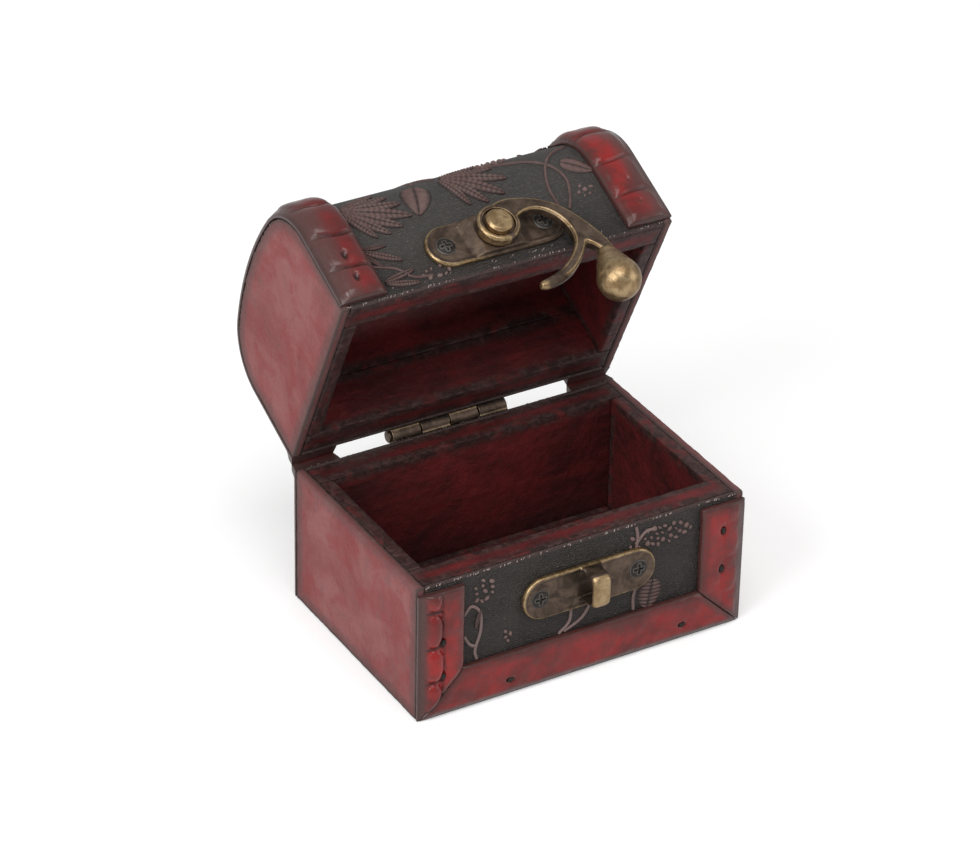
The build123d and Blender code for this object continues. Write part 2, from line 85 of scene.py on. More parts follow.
def added(operator, **settings):
    """Adds a primitive by this operator, with nothing else selected, and returns it."""
    bpy.ops.object.select_all(action="DESELECT")
    operator(**settings)
    return bpy.context.active_object


def new_object(name, data):
    """A new object in the scene for this mesh, curve, camera or light."""
    made = bpy.data.objects.new(name, data)
    bpy.context.scene.collection.objects.link(made)
    return made


@contextmanager
def edit_mode(piece):
    """Edit mode on one piece with all of it selected, and object mode again at the end."""
    activate(piece)
    bpy.ops.object.mode_set(mode="EDIT")
    bpy.ops.mesh.select_all(action="SELECT")
    yield
    bpy.ops.object.mode_set(mode="OBJECT")


def apply_modifier(piece, kind, **settings):
    """Adds a modifier with these settings and applies it."""
    activate(piece)
    modifier = piece.modifiers.new(kind.title(), kind)
    for name, value in settings.items():
        setattr(modifier, name, value)
    bpy.ops.object.modifier_apply(modifier=modifier.name)


def points_of(piece):
    """The piece's vertices as an array, in metres."""
    points = np.empty(len(piece.data.vertices) * 3, np.float32)
    piece.data.vertices.foreach_get("co", points)
    return points.reshape(-1, 3)


def move_points(piece, points):
    """Puts the piece's vertices at these places, in metres."""
    piece.data.vertices.foreach_set("co", np.ascontiguousarray(points, np.float32).ravel())
    piece.data.update()


def mark(piece, name, values):
    """Stores one number or one vector for each vertex under a name that materials read."""
    kind, field = ("FLOAT", "value") if np.ndim(values) == 1 else ("FLOAT_VECTOR", "vector")
    layer = piece.data.attributes.new(name, kind, "POINT")
    layer.data.foreach_set(field, np.asarray(values, np.float32).ravel())


far_from_edge, full_relief = 9.0, 1.0


def finish_piece(piece, body, finish, replaced, smooth_angle):
    """Marks, shades, opens, dresses and hangs a finished piece on its body."""
    points = points_of(piece)
    mark(piece, "place", points / MM)
    for name, value in (("edge", far_from_edge), ("relief", full_relief)):
        if name not in piece.data.attributes:
            mark(piece, name, np.full(len(points), value))
    activate(piece)
    bpy.ops.object.shade_smooth_by_angle(angle=math.radians(smooth_angle))
    if body != "chest_body":
        piece.data.transform(opening)
    piece.data.materials.clear()
    piece.data.materials.append(finish.material)
    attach(piece, body)
    if replaced:
        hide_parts(*replaced)
    return piece


# %% [markdown]
# ## Faces to wrap things on
# Straps, foliage and loose threads all lie on the chest's outer faces. It is easier to draw them
# flat, as across, along and lift, and then to wrap them on. Each face is a function that turns
# those three numbers into a place on the closed chest. The lid's face follows its outline: up the
# front, round a tight corner, over a shallow crown and down the back.

# %% Three faces, all in millimetres
half_depth, lid_rim, lid_top = 25.0, 31.3, 63.0
corner_radius, crown_radius = 12.0, 65.0
corner_side = half_depth - corner_radius
crown_centre = lid_top - crown_radius
corner_height = crown_centre + math.sqrt((crown_radius - corner_radius) ** 2 - corner_side**2)
crown_angle = math.atan2(corner_height - crown_centre, corner_side)
side_run = corner_height - lid_rim
corner_run = corner_radius * crown_angle
arch_length = 2 * (side_run + corner_run) + crown_radius * (math.pi - 2 * crown_angle)


def front_face(across, along, lift):
    """The body's front: along is the height above the ground."""
    return np.column_stack([across, -half_depth - lift, along])


def back_face(across, along, lift):
    """The body's back, mirrored so that across still grows to the right from the front."""
    return np.column_stack([across, half_depth + lift, along])


def lid_face(across, along, lift):
    """The lid: along runs from the front rim over the top to the back rim."""
    behind = along > arch_length / 2
    run = np.where(behind, arch_length - along, along)
    on_crown = run > side_run + corner_run
    turn = np.where(
        on_crown,
        math.pi - crown_angle - (run - side_run - corner_run) / crown_radius,
        math.pi - np.clip((run - side_run) / corner_radius, 0, crown_angle),
    )
    radius = np.where(on_crown, crown_radius, corner_radius) + lift
    deep = np.where(on_crown, 0, -corner_side) + radius * np.cos(turn)
    high = np.where(on_crown, crown_centre, corner_height) + radius * np.sin(turn)
    high = high + np.minimum(run - side_run, 0)
    return np.column_stack([across, np.where(behind, -deep, deep), high])


body_faces = {"front": front_face, "back": back_face}


def lumps(across, along, size, seed):
    """Smooth seeded unevenness between about -1 and 1, with lumps of about this size."""
    random = np.random.default_rng(seed)
    total = np.zeros(len(across))
    for _ in range(7):
        heading, phase = random.uniform(0, 2 * math.pi, 2)
        pace = 2 * math.pi / (size * random.uniform(0.7, 1.8))
        total += np.sin(pace * (across * math.cos(heading) + along * math.sin(heading)) + phase)
    return total / 3.5


print("lid outline", round(arch_length, 2), "mm over the arch")


# %% [markdown]
# ## From a frame part to a worn part
# A machined solid has knife edges, and a real board or casting has none. A frame part is loose
# triangles, so its copy is first merged and its flat faces are joined up. A voxel remesh then
# gives it an even skin, which rounds every edge a little and gives the wear something to bite on.
# Before that, the sharp edges are remembered, and afterwards each vertex is told how far it is
# from the nearest one. Materials use that distance to darken or brighten the rims.

# %% Copies with soft edges
def node_copy(node, name):
    """A merged copy of a frame part, in the closed chest, with its flat faces joined up."""
    piece = new_object(name, nodes[node].data.copy())
    piece.data.materials.clear()
    if body_of[node] != "chest_body":
        piece.data.transform(closing)
    with edit_mode(piece):
        bpy.ops.mesh.remove_doubles(threshold=2e-6)
        bpy.ops.mesh.dissolve_limited(angle_limit=math.radians(1))
    return piece


def sharp_edge_tree(piece, turn=30, spacing=0.4 * MM):
    """A search tree of points along the edges where the surface turns by more than an angle."""
    with edit_mode(piece):
        bpy.ops.mesh.select_mode(type="EDGE")
        bpy.ops.mesh.select_all(action="DESELECT")
        bpy.ops.mesh.edges_select_sharp(sharpness=math.radians(turn))
    places = []
    for edge in piece.data.edges:
        if edge.select:
            start, end = (piece.data.vertices[v].co for v in edge.vertices)
            count = max(1, round((end - start).length / spacing))
            places += [start.lerp(end, step / count) for step in range(count + 1)]
    tree = kdtree.KDTree(len(places))
    for number, place in enumerate(places):
        tree.insert(place, number)
    tree.balance()
    return tree


def mark_edges(piece, tree):
    """Stores each vertex's distance to the nearest sharp edge, in millimetres."""
    distances = [tree.find(vertex.co)[2] / MM for vertex in piece.data.vertices]
    mark(piece, "edge", np.minimum(distances, far_from_edge))


def worn_copy(node, name, voxel, dents=0.0, dent_size=2.2):
    """A frame part with soft edges, an even skin and, if asked, shallow hand-made dents."""
    piece = node_copy(node, name)
    tree = sharp_edge_tree(piece)
    low, high = points_of(piece).min(0), points_of(piece).max(0)
    apply_modifier(piece, "REMESH", mode="VOXEL", voxel_size=voxel * MM)
    if dents:
        clouds = bpy.data.textures.new(name + "_dents", "CLOUDS")
        clouds.noise_scale = dent_size * MM
        clouds.noise_depth = 2
        apply_modifier(piece, "DISPLACE", texture=clouds, strength=dents * MM, mid_level=0.9)
    move_points(piece, np.clip(points_of(piece), low, high))
    mark_edges(piece, tree)
    return piece


# %% [markdown]
# ## Shader groups
# Cloudy stains and the wear along rims come back in nearly every finish, each time with other
# numbers, so each is a node group. Brush marks and the weave of cloth are groups too, because
# several covers and boards share them and they read better apart. All four read only places and
# distances that the pieces carry, and put out masks and heights. The shader itself stays in each
# material.

# %% A builder for groups and materials
class Wiring:
    """Adds nodes to a tree and links them in short lines."""

    def __init__(self, tree):
        self.tree = tree
        self.link = tree.links.new

    def node(self, kind, inputs=None, **settings):
        """A node with its settings, whose inputs are linked or set by name or number."""
        made = self.tree.nodes.new(kind)
        for name, value in settings.items():
            setattr(made, name, value)
        for key, value in (inputs or {}).items():
            if isinstance(value, bpy.types.NodeSocket):
                self.link(value, made.inputs[key])
            else:
                made.inputs[key].default_value = value
        return made

    def math(self, operation, first, second=0.0, clamp=False):
        """One sum or comparison."""
        numbers = {0: first, 1: second}
        return self.node("ShaderNodeMath", numbers, operation=operation, use_clamp=clamp).outputs[0]

    def step(self, value, low, high):
        """0 below low, 1 above high and a smooth rise between them."""
        numbers = {"Value": value, "From Min": low, "From Max": high}
        return self.node("ShaderNodeMapRange", numbers, interpolation_type="SMOOTHSTEP").outputs[0]

    def noise(self, vector, scale, detail=2.0, roughness=0.5, distortion=0.0):
        """Cloudy noise."""
        numbers = {"Vector": vector, "Scale": scale, "Detail": detail}
        numbers |= {"Roughness": roughness, "Distortion": distortion}
        return self.node("ShaderNodeTexNoise", numbers).outputs["Fac"]

    def stretch(self, vector, factors):
        """A vector scaled apart along its axes."""
        numbers = {"Vector": vector, "Scale": factors}
        return self.node("ShaderNodeMapping", numbers).outputs["Vector"]

    def mix(self, mask, first, second):
        """One colour laid over another by a mask."""
        made = self.node("ShaderNodeMix", data_type="RGBA")
        for name, value in (("Factor_Float", mask), ("A_Color", first), ("B_Color", second)):
            entry = next(s for s in made.inputs if s.identifier == name)
            if isinstance(value, bpy.types.NodeSocket):
                self.link(value, entry)
            else:
                entry.default_value = value if name == "Factor_Float" else (*value, 1.0)
        return next(s for s in made.outputs if s.identifier == "Result_Color")


def new_group(name, outputs, **numbers):
    """A node group that is given a place and these numbers, and the wiring that fills it."""
    group = bpy.data.node_groups.new(name, "ShaderNodeTree")
    socket = group.interface.new_socket
    socket(name="Place", in_out="INPUT", socket_type="NodeSocketVector")
    for label, value in numbers.items():
        socket(name=label, in_out="INPUT", socket_type="NodeSocketFloat").default_value = value
    for label in outputs:
        socket(name=label, in_out="OUTPUT", socket_type="NodeSocketFloat")
    wires = Wiring(group)
    return group, wires, wires.node("NodeGroupInput").outputs, wires.node("NodeGroupOutput").inputs


# %% Cloudy stains
stain_group, w, given, out = new_group("cloudy_stain", ["Mask"], Size=8.0, Cover=0.5, Softness=0.12)
clouds = w.noise(given["Place"], w.math("DIVIDE", 1.0, given["Size"]), 5.0, 0.62, 0.6)
level = w.math("SUBTRACT", 1.0, given["Cover"])
low, high = w.math("SUBTRACT", level, given["Softness"]), w.math("ADD", level, given["Softness"])
w.link(w.step(clouds, low, high), out["Mask"])

# %% Brush marks and grain
brush_group, w, given, out = new_group("brush_marks", ["Streaks", "Fibres"], Fineness=1.0)
sizes = {0: given["Place"], "Scale": given["Fineness"]}
scaled = w.node("ShaderNodeVectorMath", sizes, operation="SCALE").outputs[0]
wobble = w.math("MULTIPLY", w.math("SUBTRACT", w.noise(scaled, 0.12), 0.5), 0.4)
streaks = w.noise(w.stretch(scaled, (0.07, 0.6, 0.6)), 1.0, 5.0, 0.65, 0.3)
fibres = w.noise(w.stretch(scaled, (0.25, 5.0, 5.0)), 1.0, 4.0, 0.7)
w.link(w.math("ADD", streaks, wobble), out["Streaks"])
w.link(fibres, out["Fibres"])

# %% The weave of cloth
weave_group, w, given, out = new_group("cloth_weave", ["Height"], Pitch=0.5)
turns = w.math("DIVIDE", math.pi, given["Pitch"])
wave = w.node("ShaderNodeTexNoise", {"Vector": given["Place"], "Scale": 0.45, "Detail": 3.0})
push = {0: wave.outputs["Color"], 1: (1.5, 1.5, 0), 2: given["Place"]}
pushed = w.node("ShaderNodeVectorMath", push, operation="MULTIPLY_ADD")
parts = w.node("ShaderNodeSeparateXYZ", {"Vector": pushed.outputs[0]})
slant = w.math("ADD", parts.outputs["X"], w.math("MULTIPLY", parts.outputs["Y"], 0.5))
along = w.math("ABSOLUTE", w.math("SINE", w.math("MULTIPLY", slant, turns)))
across = w.math("ABSOLUTE", w.math("SINE", w.math("MULTIPLY", parts.outputs["Y"], turns)))
over = w.math("MULTIPLY", w.math("POWER", along, 0.6), across)
uneven = w.step(w.noise(given["Place"], 1.1, 4.0, 0.7), 0.30, 0.70)
w.link(w.math("MULTIPLY", over, uneven), out["Height"])

# %% Wear along the rims
wear_group, w, given, out = new_group("rim_wear", ["Mask"], Edge=9.0, Reach=1.0, Raggedness=0.8)
ragged = w.math("SUBTRACT", w.noise(given["Place"], 1.1, 5.0, 0.7), 0.5)
ragged = w.math("MULTIPLY", ragged, w.math("MULTIPLY", given["Raggedness"], 4.0))
reach = w.math("MAXIMUM", w.math("ADD", given["Reach"], ragged), 0.05)
share = w.math("DIVIDE", given["Edge"], reach)
w.link(w.math("SUBTRACT", 1.0, w.step(share, 0.35, 1.1)), out["Mask"])
print("shader groups", [g.name for g in bpy.data.node_groups])


# %% [markdown]
# ## The finishes
# The colours are the photographed ones, written as plain surface colours. Wood and leather are
# stained dark and wiped, so their colour is never even: red shows where the stain was wiped and
# brown where it stayed, in corners and along edges. Each finish starts from two tones and then
# lays coats over them. A coat is a mask, how strongly it covers, and its colour.

# %% A finish and its coats
class Finish(Wiring):
    """A new material, with its shader, what the pieces tell it and short words for its effects."""

    def __init__(self, name, rgb, **levels):
        self.material = bpy.data.materials.new(name)
        self.material.use_nodes = True
        self.material.diffuse_color = (*rgb, 1.0)
        super().__init__(self.material.node_tree)
        self.shader = self.tree.nodes["Principled BSDF"].inputs
        for label, value in levels.items():
            self.shader[label.replace("_", " ")].default_value = value
        self.place = self.told("place", "Vector")
        self.edge, self.relief = self.told("edge"), self.told("relief")

    def told(self, name, kind="Fac"):
        """What a piece stores at its points under this name."""
        return self.node("ShaderNodeAttribute", attribute_name=name).outputs[kind]

    def group(self, group, **inputs):
        """A node group, read at the piece's own place unless another is given."""
        inputs = {"Place": self.place, **inputs}
        return self.node("ShaderNodeGroup", inputs, node_tree=group).outputs

    def stain(self, size, cover, softness):
        """A mask of cloudy stains, with their size in millimetres."""
        return self.group(stain_group, Size=size, Cover=cover, Softness=softness)["Mask"]

    def rim(self, reach, raggedness):
        """A mask of wear that reaches this many millimetres in from the sharp edges."""
        return self.group(wear_group, Edge=self.edge, Reach=reach, Raggedness=raggedness)["Mask"]

    def times(self, mask, share):
        """A weaker mask."""
        return self.math("MULTIPLY", mask, share)

    def but(self, mask):
        """The opposite of a mask."""
        return self.math("SUBTRACT", 1.0, mask)

    def coats(self, colour, *coats):
        """Lays coats over a colour, one after another."""
        for mask, share, over in coats:
            colour = self.mix(self.times(mask, share), colour, over)
        return colour

    def feed(self, colour, roughness, height, distance, strength=1.0):
        """Links colour, roughness and a bump, whose distance is in millimetres, to the shader."""
        numbers = {"Height": height, "Distance": distance * MM, "Strength": strength}
        self.link(colour, self.shader["Base Color"])
        self.link(roughness, self.shader["Roughness"])
        self.link(self.node("ShaderNodeBump", numbers).outputs["Normal"], self.shader["Normal"])


# %% Stained end panels, dusty red with dark edges
panel_red = w = Finish("stained_panel", (0.25, 0.08, 0.08), Specular_IOR_Level=0.3)
dust_and_sheen, blot = w.stain(18.0, 0.50, 0.14), w.stain(9.0, 0.46, 0.09)
grime, pits = w.stain(8.0, 0.37, 0.10), w.stain(0.8, 0.33, 0.04)
colour = w.coats(
    w.mix(dust_and_sheen, (0.225, 0.052, 0.052), (0.285, 0.098, 0.096)),
    (blot, 0.60, (0.240, 0.032, 0.034)),
    (grime, 0.45, (0.125, 0.070, 0.068)),
    (pits, 0.50, (0.105, 0.030, 0.029)),
    (w.rim(3.4, 1.1), 0.60, (0.088, 0.058, 0.054)),
    (w.rim(0.9, 0.3), 0.80, (0.058, 0.043, 0.039)),
)
fine = w.noise(w.place, 2.2, 6.0, 0.7)
w.feed(colour, w.step(fine, -0.9, 1.6), w.math("SUBTRACT", fine, w.times(pits, 0.5)), 0.22, 0.7)

# %% Stained boards, dark red inside with brushed patches and brown rims
board_red = w = Finish("stained_board", (0.07, 0.01, 0.012), Specular_IOR_Level=0.3)
marks = w.group(brush_group, Fineness=0.8)
patch, mottle = w.stain(15.0, 0.46, 0.2), w.stain(1.8, 0.44, 0.14)
red_rim = w.stain(4.5, 0.40, 0.10)
# The body's boards turn darker towards the bottom, below about 19 mm above the ground.
height_above_floor = w.node("ShaderNodeSeparateXYZ", {"Vector": w.place}).outputs["Z"]
brown = w.coats(
    w.mix(mottle, (0.016, 0.010, 0.009), (0.068, 0.037, 0.033)),
    (w.step(marks["Fibres"], 0.30, 0.78), 0.22, (0.100, 0.052, 0.046)),
    (red_rim, 0.80, (0.125, 0.016, 0.016)),
)
colour = w.coats(
    w.mix(w.step(marks["Streaks"], 0.40, 0.72), (0.046, 0.0080, 0.0085), (0.100, 0.0125, 0.0135)),
    (patch, 0.80, (0.165, 0.0150, 0.0165)),
    (mottle, 0.22, (0.030, 0.010, 0.010)),
    (w.but(w.step(height_above_floor, 1.0, 19.0)), 0.62, (0.022, 0.0085, 0.0085)),
    (w.rim(2.6, 0.8), 0.92, brown),
)
height = w.math("ADD", w.times(marks["Fibres"], 0.6), w.times(mottle, 0.5))
w.feed(colour, w.step(marks["Fibres"], -0.6, 1.5), height, 0.18, 0.7)

# %% The embossed cover, near black with a fine weave and a painted sheen on top of the lid
cover_black = w = Finish("embossed_cover", (0.04, 0.034, 0.031), Specular_IOR_Level=0.3)
# On the lid a paler grey coat paints a sheen, and the weave's threads turn paler under it.
weft, dust_and_sheen = w.told("weft", "Vector"), w.told("dust_and_sheen")
weave = w.group(weave_group, Place=weft, Pitch=0.58)["Height"]
thread = w.mix(dust_and_sheen, (0.074, 0.064, 0.059), (0.108, 0.099, 0.092))
colour = w.coats(
    w.mix(w.stain(7.0, 0.45, 0.2), (0.019, 0.0160, 0.0148), (0.032, 0.0265, 0.0240)),
    (dust_and_sheen, 0.55, (0.055, 0.050, 0.047)),
    (w.step(weave, 0.10, 0.85), 1.0, thread),
    (w.rim(0.8, 0.5), 0.7, (0.070, 0.040, 0.036)),
)
wrinkles = w.noise(w.stretch(weft, (0.35, 0.8, 0.8)), 0.9, 3.0, 0.5, 1.2)
w.feed(colour, w.step(weave, -1.3, 1.6), w.math("ADD", weave, w.times(wrinkles, 1.2)), 0.26, 0.9)

# %% Raised foliage, mauve brown, with painted shade in its low relief and a painted highlight on berries and body stems
foliage_mauve = w = Finish("foliage", (0.12, 0.07, 0.065), Specular_IOR_Level=0.35)
ridge = w.mix(w.stain(8.0, 0.5, 0.2), (0.120, 0.062, 0.056), (0.150, 0.098, 0.088))
colour = w.coats(
    # Low relief, in the rib valleys, along the vein and round the outlines, is painted near black as shade.
    w.mix(w.step(w.relief, 0.35, 0.95), (0.018, 0.012, 0.011), ridge),
    (w.stain(1.1, 0.45, 0.15), 0.5, (0.060, 0.038, 0.034)),
    # Relief above 1.2, given only to berries and the body's stems, is painted with a pale highlight.
    (w.step(w.relief, 1.2, 1.9), 0.6, (0.290, 0.215, 0.205)),
)
fine = w.noise(w.place, 3.2, 4.0, 0.6)
w.feed(colour, w.step(fine, -1.0, 1.5), fine, 0.14, 0.8)

# %% Frayed thread ends, pale and dusty
thread_pale = w = Finish("cut_thread", (0.30, 0.24, 0.23))
fine = w.noise(w.place, 3.0, 3.0)
colour = w.mix(w.step(fine, 0.35, 0.65), (0.10, 0.070, 0.066), (0.42, 0.34, 0.32))
w.feed(colour, w.step(fine, -1.0, 1.0), fine, 0.05)

# %% Strap leather, glossy red with dark creases and a dusty outer margin
gloss = {"Specular_IOR_Level": 0.2, "Coat_Weight": 0.42, "Coat_Roughness": 0.20}
strap_red = w = Finish("strap_leather", (0.25, 0.025, 0.025), **gloss)
pull, burnish, specks = w.stain(9.0, 0.52, 0.16), w.stain(5.0, 0.42, 0.2), w.stain(0.9, 0.26, 0.06)
crease = w.but(w.step(w.relief, 0.0, 0.95))
colour = w.coats(
    w.mix(pull, (0.135, 0.0110, 0.0105), (0.315, 0.0135, 0.013)),
    (w.told("dark_tone"), 0.55, (0.085, 0.012, 0.012)),
    (burnish, 0.62, (0.066, 0.021, 0.018)),
    (specks, 0.35, (0.045, 0.016, 0.014)),
    (crease, 0.85, (0.026, 0.008, 0.007)),
    (w.rim(2.3, 0.6), 0.62, (0.058, 0.024, 0.021)),
    (w.but(w.step(w.told("margin"), 0.35, 0.95)), 0.75, (0.078, 0.042, 0.039)),
    (w.rim(0.6, 0.25), 0.70, (0.050, 0.027, 0.024)),
)
grain = w.noise(w.place, 0.55, 4.0, 0.5, 0.3)
w.feed(colour, w.step(w.math("ADD", grain, w.times(crease, 0.4)), -0.1, 1.7), grain, 0.22, 0.6)

# %% Antiqued brass, dark in the hollows and bright where hands rub it
brass = w = Finish("antique_brass", (0.30, 0.22, 0.11), Metallic=0.9)
tarnish, specks = w.stain(3.4, 0.5, 0.18), w.stain(1.5, 0.42, 0.12)
shine = w.math("MAXIMUM", w.rim(0.55, 0.15), w.but(w.relief), clamp=True)
dark = w.mix(tarnish, (0.058, 0.041, 0.031), (0.155, 0.110, 0.081))
bright = w.mix(tarnish, (0.270, 0.175, 0.085), (0.480, 0.350, 0.195))
bright = w.coats(bright, (specks, 0.65, (0.150, 0.090, 0.045)))
fine = w.noise(w.place, 1.1, 5.0, 0.5)
rough = w.math("ADD", w.times(w.but(shine), 0.10), w.step(fine, -0.55, 2.1))
height = w.math("SUBTRACT", fine, w.times(specks, 0.25))
w.feed(w.mix(shine, dark, bright), rough, height, 0.12, 0.6)

# %% Blackened steel of the screws and brads
steel = w = Finish("dark_steel", (0.05, 0.045, 0.042), Metallic=0.75)
fine = w.noise(w.place, 3.0, 5.0, 0.7)
colour = w.coats(
    w.mix(w.step(fine, 0.4, 0.7), (0.020, 0.018, 0.017), (0.060, 0.052, 0.046)),
    (w.rim(0.35, 0.15), 0.6, (0.160, 0.145, 0.130)),
)
w.feed(colour, w.step(fine, -0.5, 1.6), fine, 0.08, 0.8)
print("materials", sorted(m.name for m in bpy.data.materials))

# %% [markdown]
# ## Boards and panels
# The body and the lid are plain boards, sawn, glued and hand stained. Each is a worn copy of its
# frame part: a fine voxel skin keeps the rims' joints visible as thin dark lines, and shallow
# dents keep the flats from looking machined. They only ever dent inwards, so no board pushes
# into its neighbour.

# %% Stained panels and boards
board_nodes = sorted(node for node in nodes if node.endswith(("panel", "liner", "board")))
for node in board_nodes:
    piece = worn_copy(node, node + "_wood", 0.4, dents=0.22)
    outer = node.endswith("end_panel")
    finish, slot = (panel_red, "stained_panel") if outer else (board_red, "stained_board")
    finish_piece(piece, body_of[node], finish, [node], 50)
print("boards", len(board_nodes), "last has", len(piece.data.polygons), "faces")

# %% [markdown]
# ## The cover
# The cover is thin cloth-backed imitation leather, glued round the boards. Its weave is a bump,
# because each thread is finer than a pixel. The weave has to follow the cloth over the arch, so
# each point also gets its place on the flat cloth: across, and along the lid's outline. The lid's
# cover also carries a share of painted sheen, paler cloth that grows from the front rim up.

# %% Covers
def cloth_places(points, on_lid):
    """Across and along for points near an outer face, in millimetres."""
    x, y, z = points.T / MM
    if not on_lid:
        return np.column_stack([x, z, np.zeros(len(x))])
    turn = np.arctan2(z - corner_height, -(np.abs(y) - corner_side))
    on_corner = side_run + corner_radius * (math.pi - np.clip(turn, math.pi - crown_angle, math.pi))
    lean = np.arctan2(np.abs(y), z - crown_centre)
    on_crown = arch_length / 2 - crown_radius * lean
    on_arch = np.where(lean < math.pi / 2 - crown_angle, on_crown, on_corner)
    along = np.where(z < corner_height, z - lid_rim, on_arch)
    return np.column_stack([x, np.where(y > 0, arch_length - along, along), np.zeros(len(x))])


# The lid's painted sheen starts 3 mm above the front rim and is full 9 mm further up.
sheen_starts, sheen_spread = 3, 9
skins = {"front_cover": 0.4, "back_cover": 0.4, "lid_cover": 0.42, "base_cover": 0.5}
for node, voxel in skins.items():
    piece = worn_copy(node, node + "_cloth", voxel)
    on_lid = node == "lid_cover"
    weft = cloth_places(points_of(piece), on_lid)
    mark(piece, "weft", weft)
    mark(piece, "dust_and_sheen", np.clip((weft[:, 1] - sheen_starts) / sheen_spread, 0, 1) * on_lid)
    slot = "base_paper" if node == "base_cover" else "embossed_cover"
    finish_piece(piece, body_of[node], cover_black, [node], 60)
    print(node, len(piece.data.polygons), "faces")

# %% [markdown]
# ## Straps
# A strap is a strip of thick leather, pressed in a die. Over the lid the die left a row of plump
# scales with deep creases between them. On the body they are narrower, with a flatter band
# beside them, and on the front's right strap and along the foot they are almost gone. It could
# be the frame's strap with a bump, but the scales catch the light as real domes and show in the
# outline. So a grid is wrapped round the strap's section, its skin is raised by a height that is
# worked out for each point, and its seam and ends are closed.

# %% The strap's pressed skin
strap_width, strap_height, strap_edge, scale_pitch = 9.9, 2.6, 0.9, 8.4
strap_outer = 37.55
strap_middle = strap_outer - strap_width / 2
strap_inner = strap_outer - strap_width
half_strap = strap_width / 2
most_scales, half_scale, scales_outer = 64, 0.475, 0.76
cross_crease, side_crease, edge_of_scales = 0.045, 0.06, 0.10


def bump_line(distance, width):
    """1 on a line and falling softly to 0 beside it."""
    return np.exp(-((distance / width) ** 2))


def pressed_scales(outer, along, seed, strength, wide):
    """Height and crease, each 0 to 1. outer is -1 at the inner edge and 1 at the outer one."""
    random = np.random.default_rng(seed)
    reach = wide * random.uniform(0.90, 1.08, most_scales)
    shift = random.uniform(-0.05, 0.05, most_scales)
    bow = 0.05 * (outer - 0.4) ** 2
    turns = along / scale_pitch + bow + 0.035 * lumps(outer * 5, along, 7.0, seed + 1)
    number = np.floor(turns).astype(int) % most_scales
    rise = turns - np.floor(turns) - 0.5
    middle = scales_outer - reach[number] + shift[number] * 0.4
    sideways = np.abs(outer - middle) / reach[number]
    fullness = 2.2 + 4 * (wide - 0.4)
    plump = np.clip(1 - sideways**fullness - np.abs(rise / half_scale) ** (fullness + 0.2), 0, 1)
    dome = ((plump + 0.03) ** 0.55 - 0.145) / 0.87
    tuck = 1 - 0.20 * np.clip(rise + 0.5, 0, 1) ** 1.5
    band = 0.50 + 0.06 * lumps(outer * 5, along, 5.2, seed + 2)
    cross = bump_line(np.abs(rise) - 0.5, cross_crease) * np.where(sideways < 1.05, 1.0, 0.12)
    from_inner_side = outer - middle + reach[number]
    beside = bump_line(from_inner_side, side_crease) * 0.6
    crease = np.clip(np.maximum(cross, beside) * strength, 0, 1)
    zone = np.clip(from_inner_side / edge_of_scales, 0, 1)
    floor = 1.1 * wide - 0.30
    scales = np.maximum(band * (1 - zone), floor + (1 - floor) * dome * tuck)
    height = band + (scales - band) * strength - 0.20 * crease
    return np.clip(height, 0.10, 1.0), crease


# %% The strap's section and its blank
top_ends, wall_ends, wall_part = 0.8, 0.9, 0.1


def strap_section(around):
    """A way round the section from -1 to 1: how far across it is, and how far up the side wall."""
    turn = np.abs(around)
    side = np.sign(around) + (around == 0)
    underneath = side * (1 - (turn - wall_ends) / wall_part)
    aside = np.where(turn <= wall_ends, side, underneath)
    across = np.where(turn <= top_ends, around / top_ends, aside)
    wall = 1 - (turn - top_ends) / wall_part
    up = np.where(turn <= top_ends, 1.0, np.where(turn <= wall_ends, wall, 0.0))
    return across, up


def fine_grid(columns, rows):
    """A flat grid, its points from -1 to 1 in x, and from 0 to 1 in y."""
    size = {"x_subdivisions": columns, "y_subdivisions": rows, "size": 2}
    grid = added(bpy.ops.mesh.primitive_grid_add, **size)
    flat = points_of(grid).astype(float)
    return grid, flat[:, 0], (flat[:, 1] + 1) / 2


def close_strap(piece):
    """Merges the seam under the strap, closes its two ends and turns its faces outwards."""
    with edit_mode(piece):
        bpy.ops.mesh.remove_doubles(threshold=1e-6)
        bpy.ops.mesh.select_mode(type="EDGE")
        bpy.ops.mesh.select_all(action="DESELECT")
        bpy.ops.mesh.select_non_manifold(extend=False)
        bpy.ops.mesh.fill_holes(sides=0)
        bpy.ops.mesh.select_all(action="SELECT")
        bpy.ops.mesh.normals_make_consistent(inside=False)


# %% How high a strap's skin stands
narrow_scales, wide_scales = 0.40, 0.84
shoulder_width, end_length, meeting_length = 2.0, 1.8, 3.5
dimple_radius, full_pit = 0.75, 0.75


def strap_skin(across, outer, along, first, last, full_end, scales):
    """Lift, relief and distance to the nearest end. first and last are distances to the ends."""
    height, crease = pressed_scales(outer, along, *scales)
    height += 0.02 * lumps(across * 5, along, 3.4, scales[0] + 5)
    shoulder = np.clip((1 - outer) * half_strap / shoulder_width, 0, 1)
    roll = np.clip(1 - np.abs(across) ** 6, 0, 1) ** 0.6 * (0.12 + 0.88 * shoulder * (2 - shoulder))
    meeting = np.clip(1 - last / meeting_length, 0, 1) * full_end
    nearest_end = first if full_end else np.minimum(first, last)
    dip = 0.40 + 0.60 * np.clip(nearest_end / end_length, 0, 1) ** 0.5
    height = height + (1 - height) * np.clip(meeting * 2, 0, 1)
    roll = roll + (1 - roll) * np.clip(meeting * 1.6, 0, 1) * (np.abs(across) < 0.97)
    lift = strap_edge * (0.75 + 0.25 * dip) + (strap_height - strap_edge) * height * roll * dip
    return lift, (1 - crease) * (1 - 0.8 * meeting), nearest_end


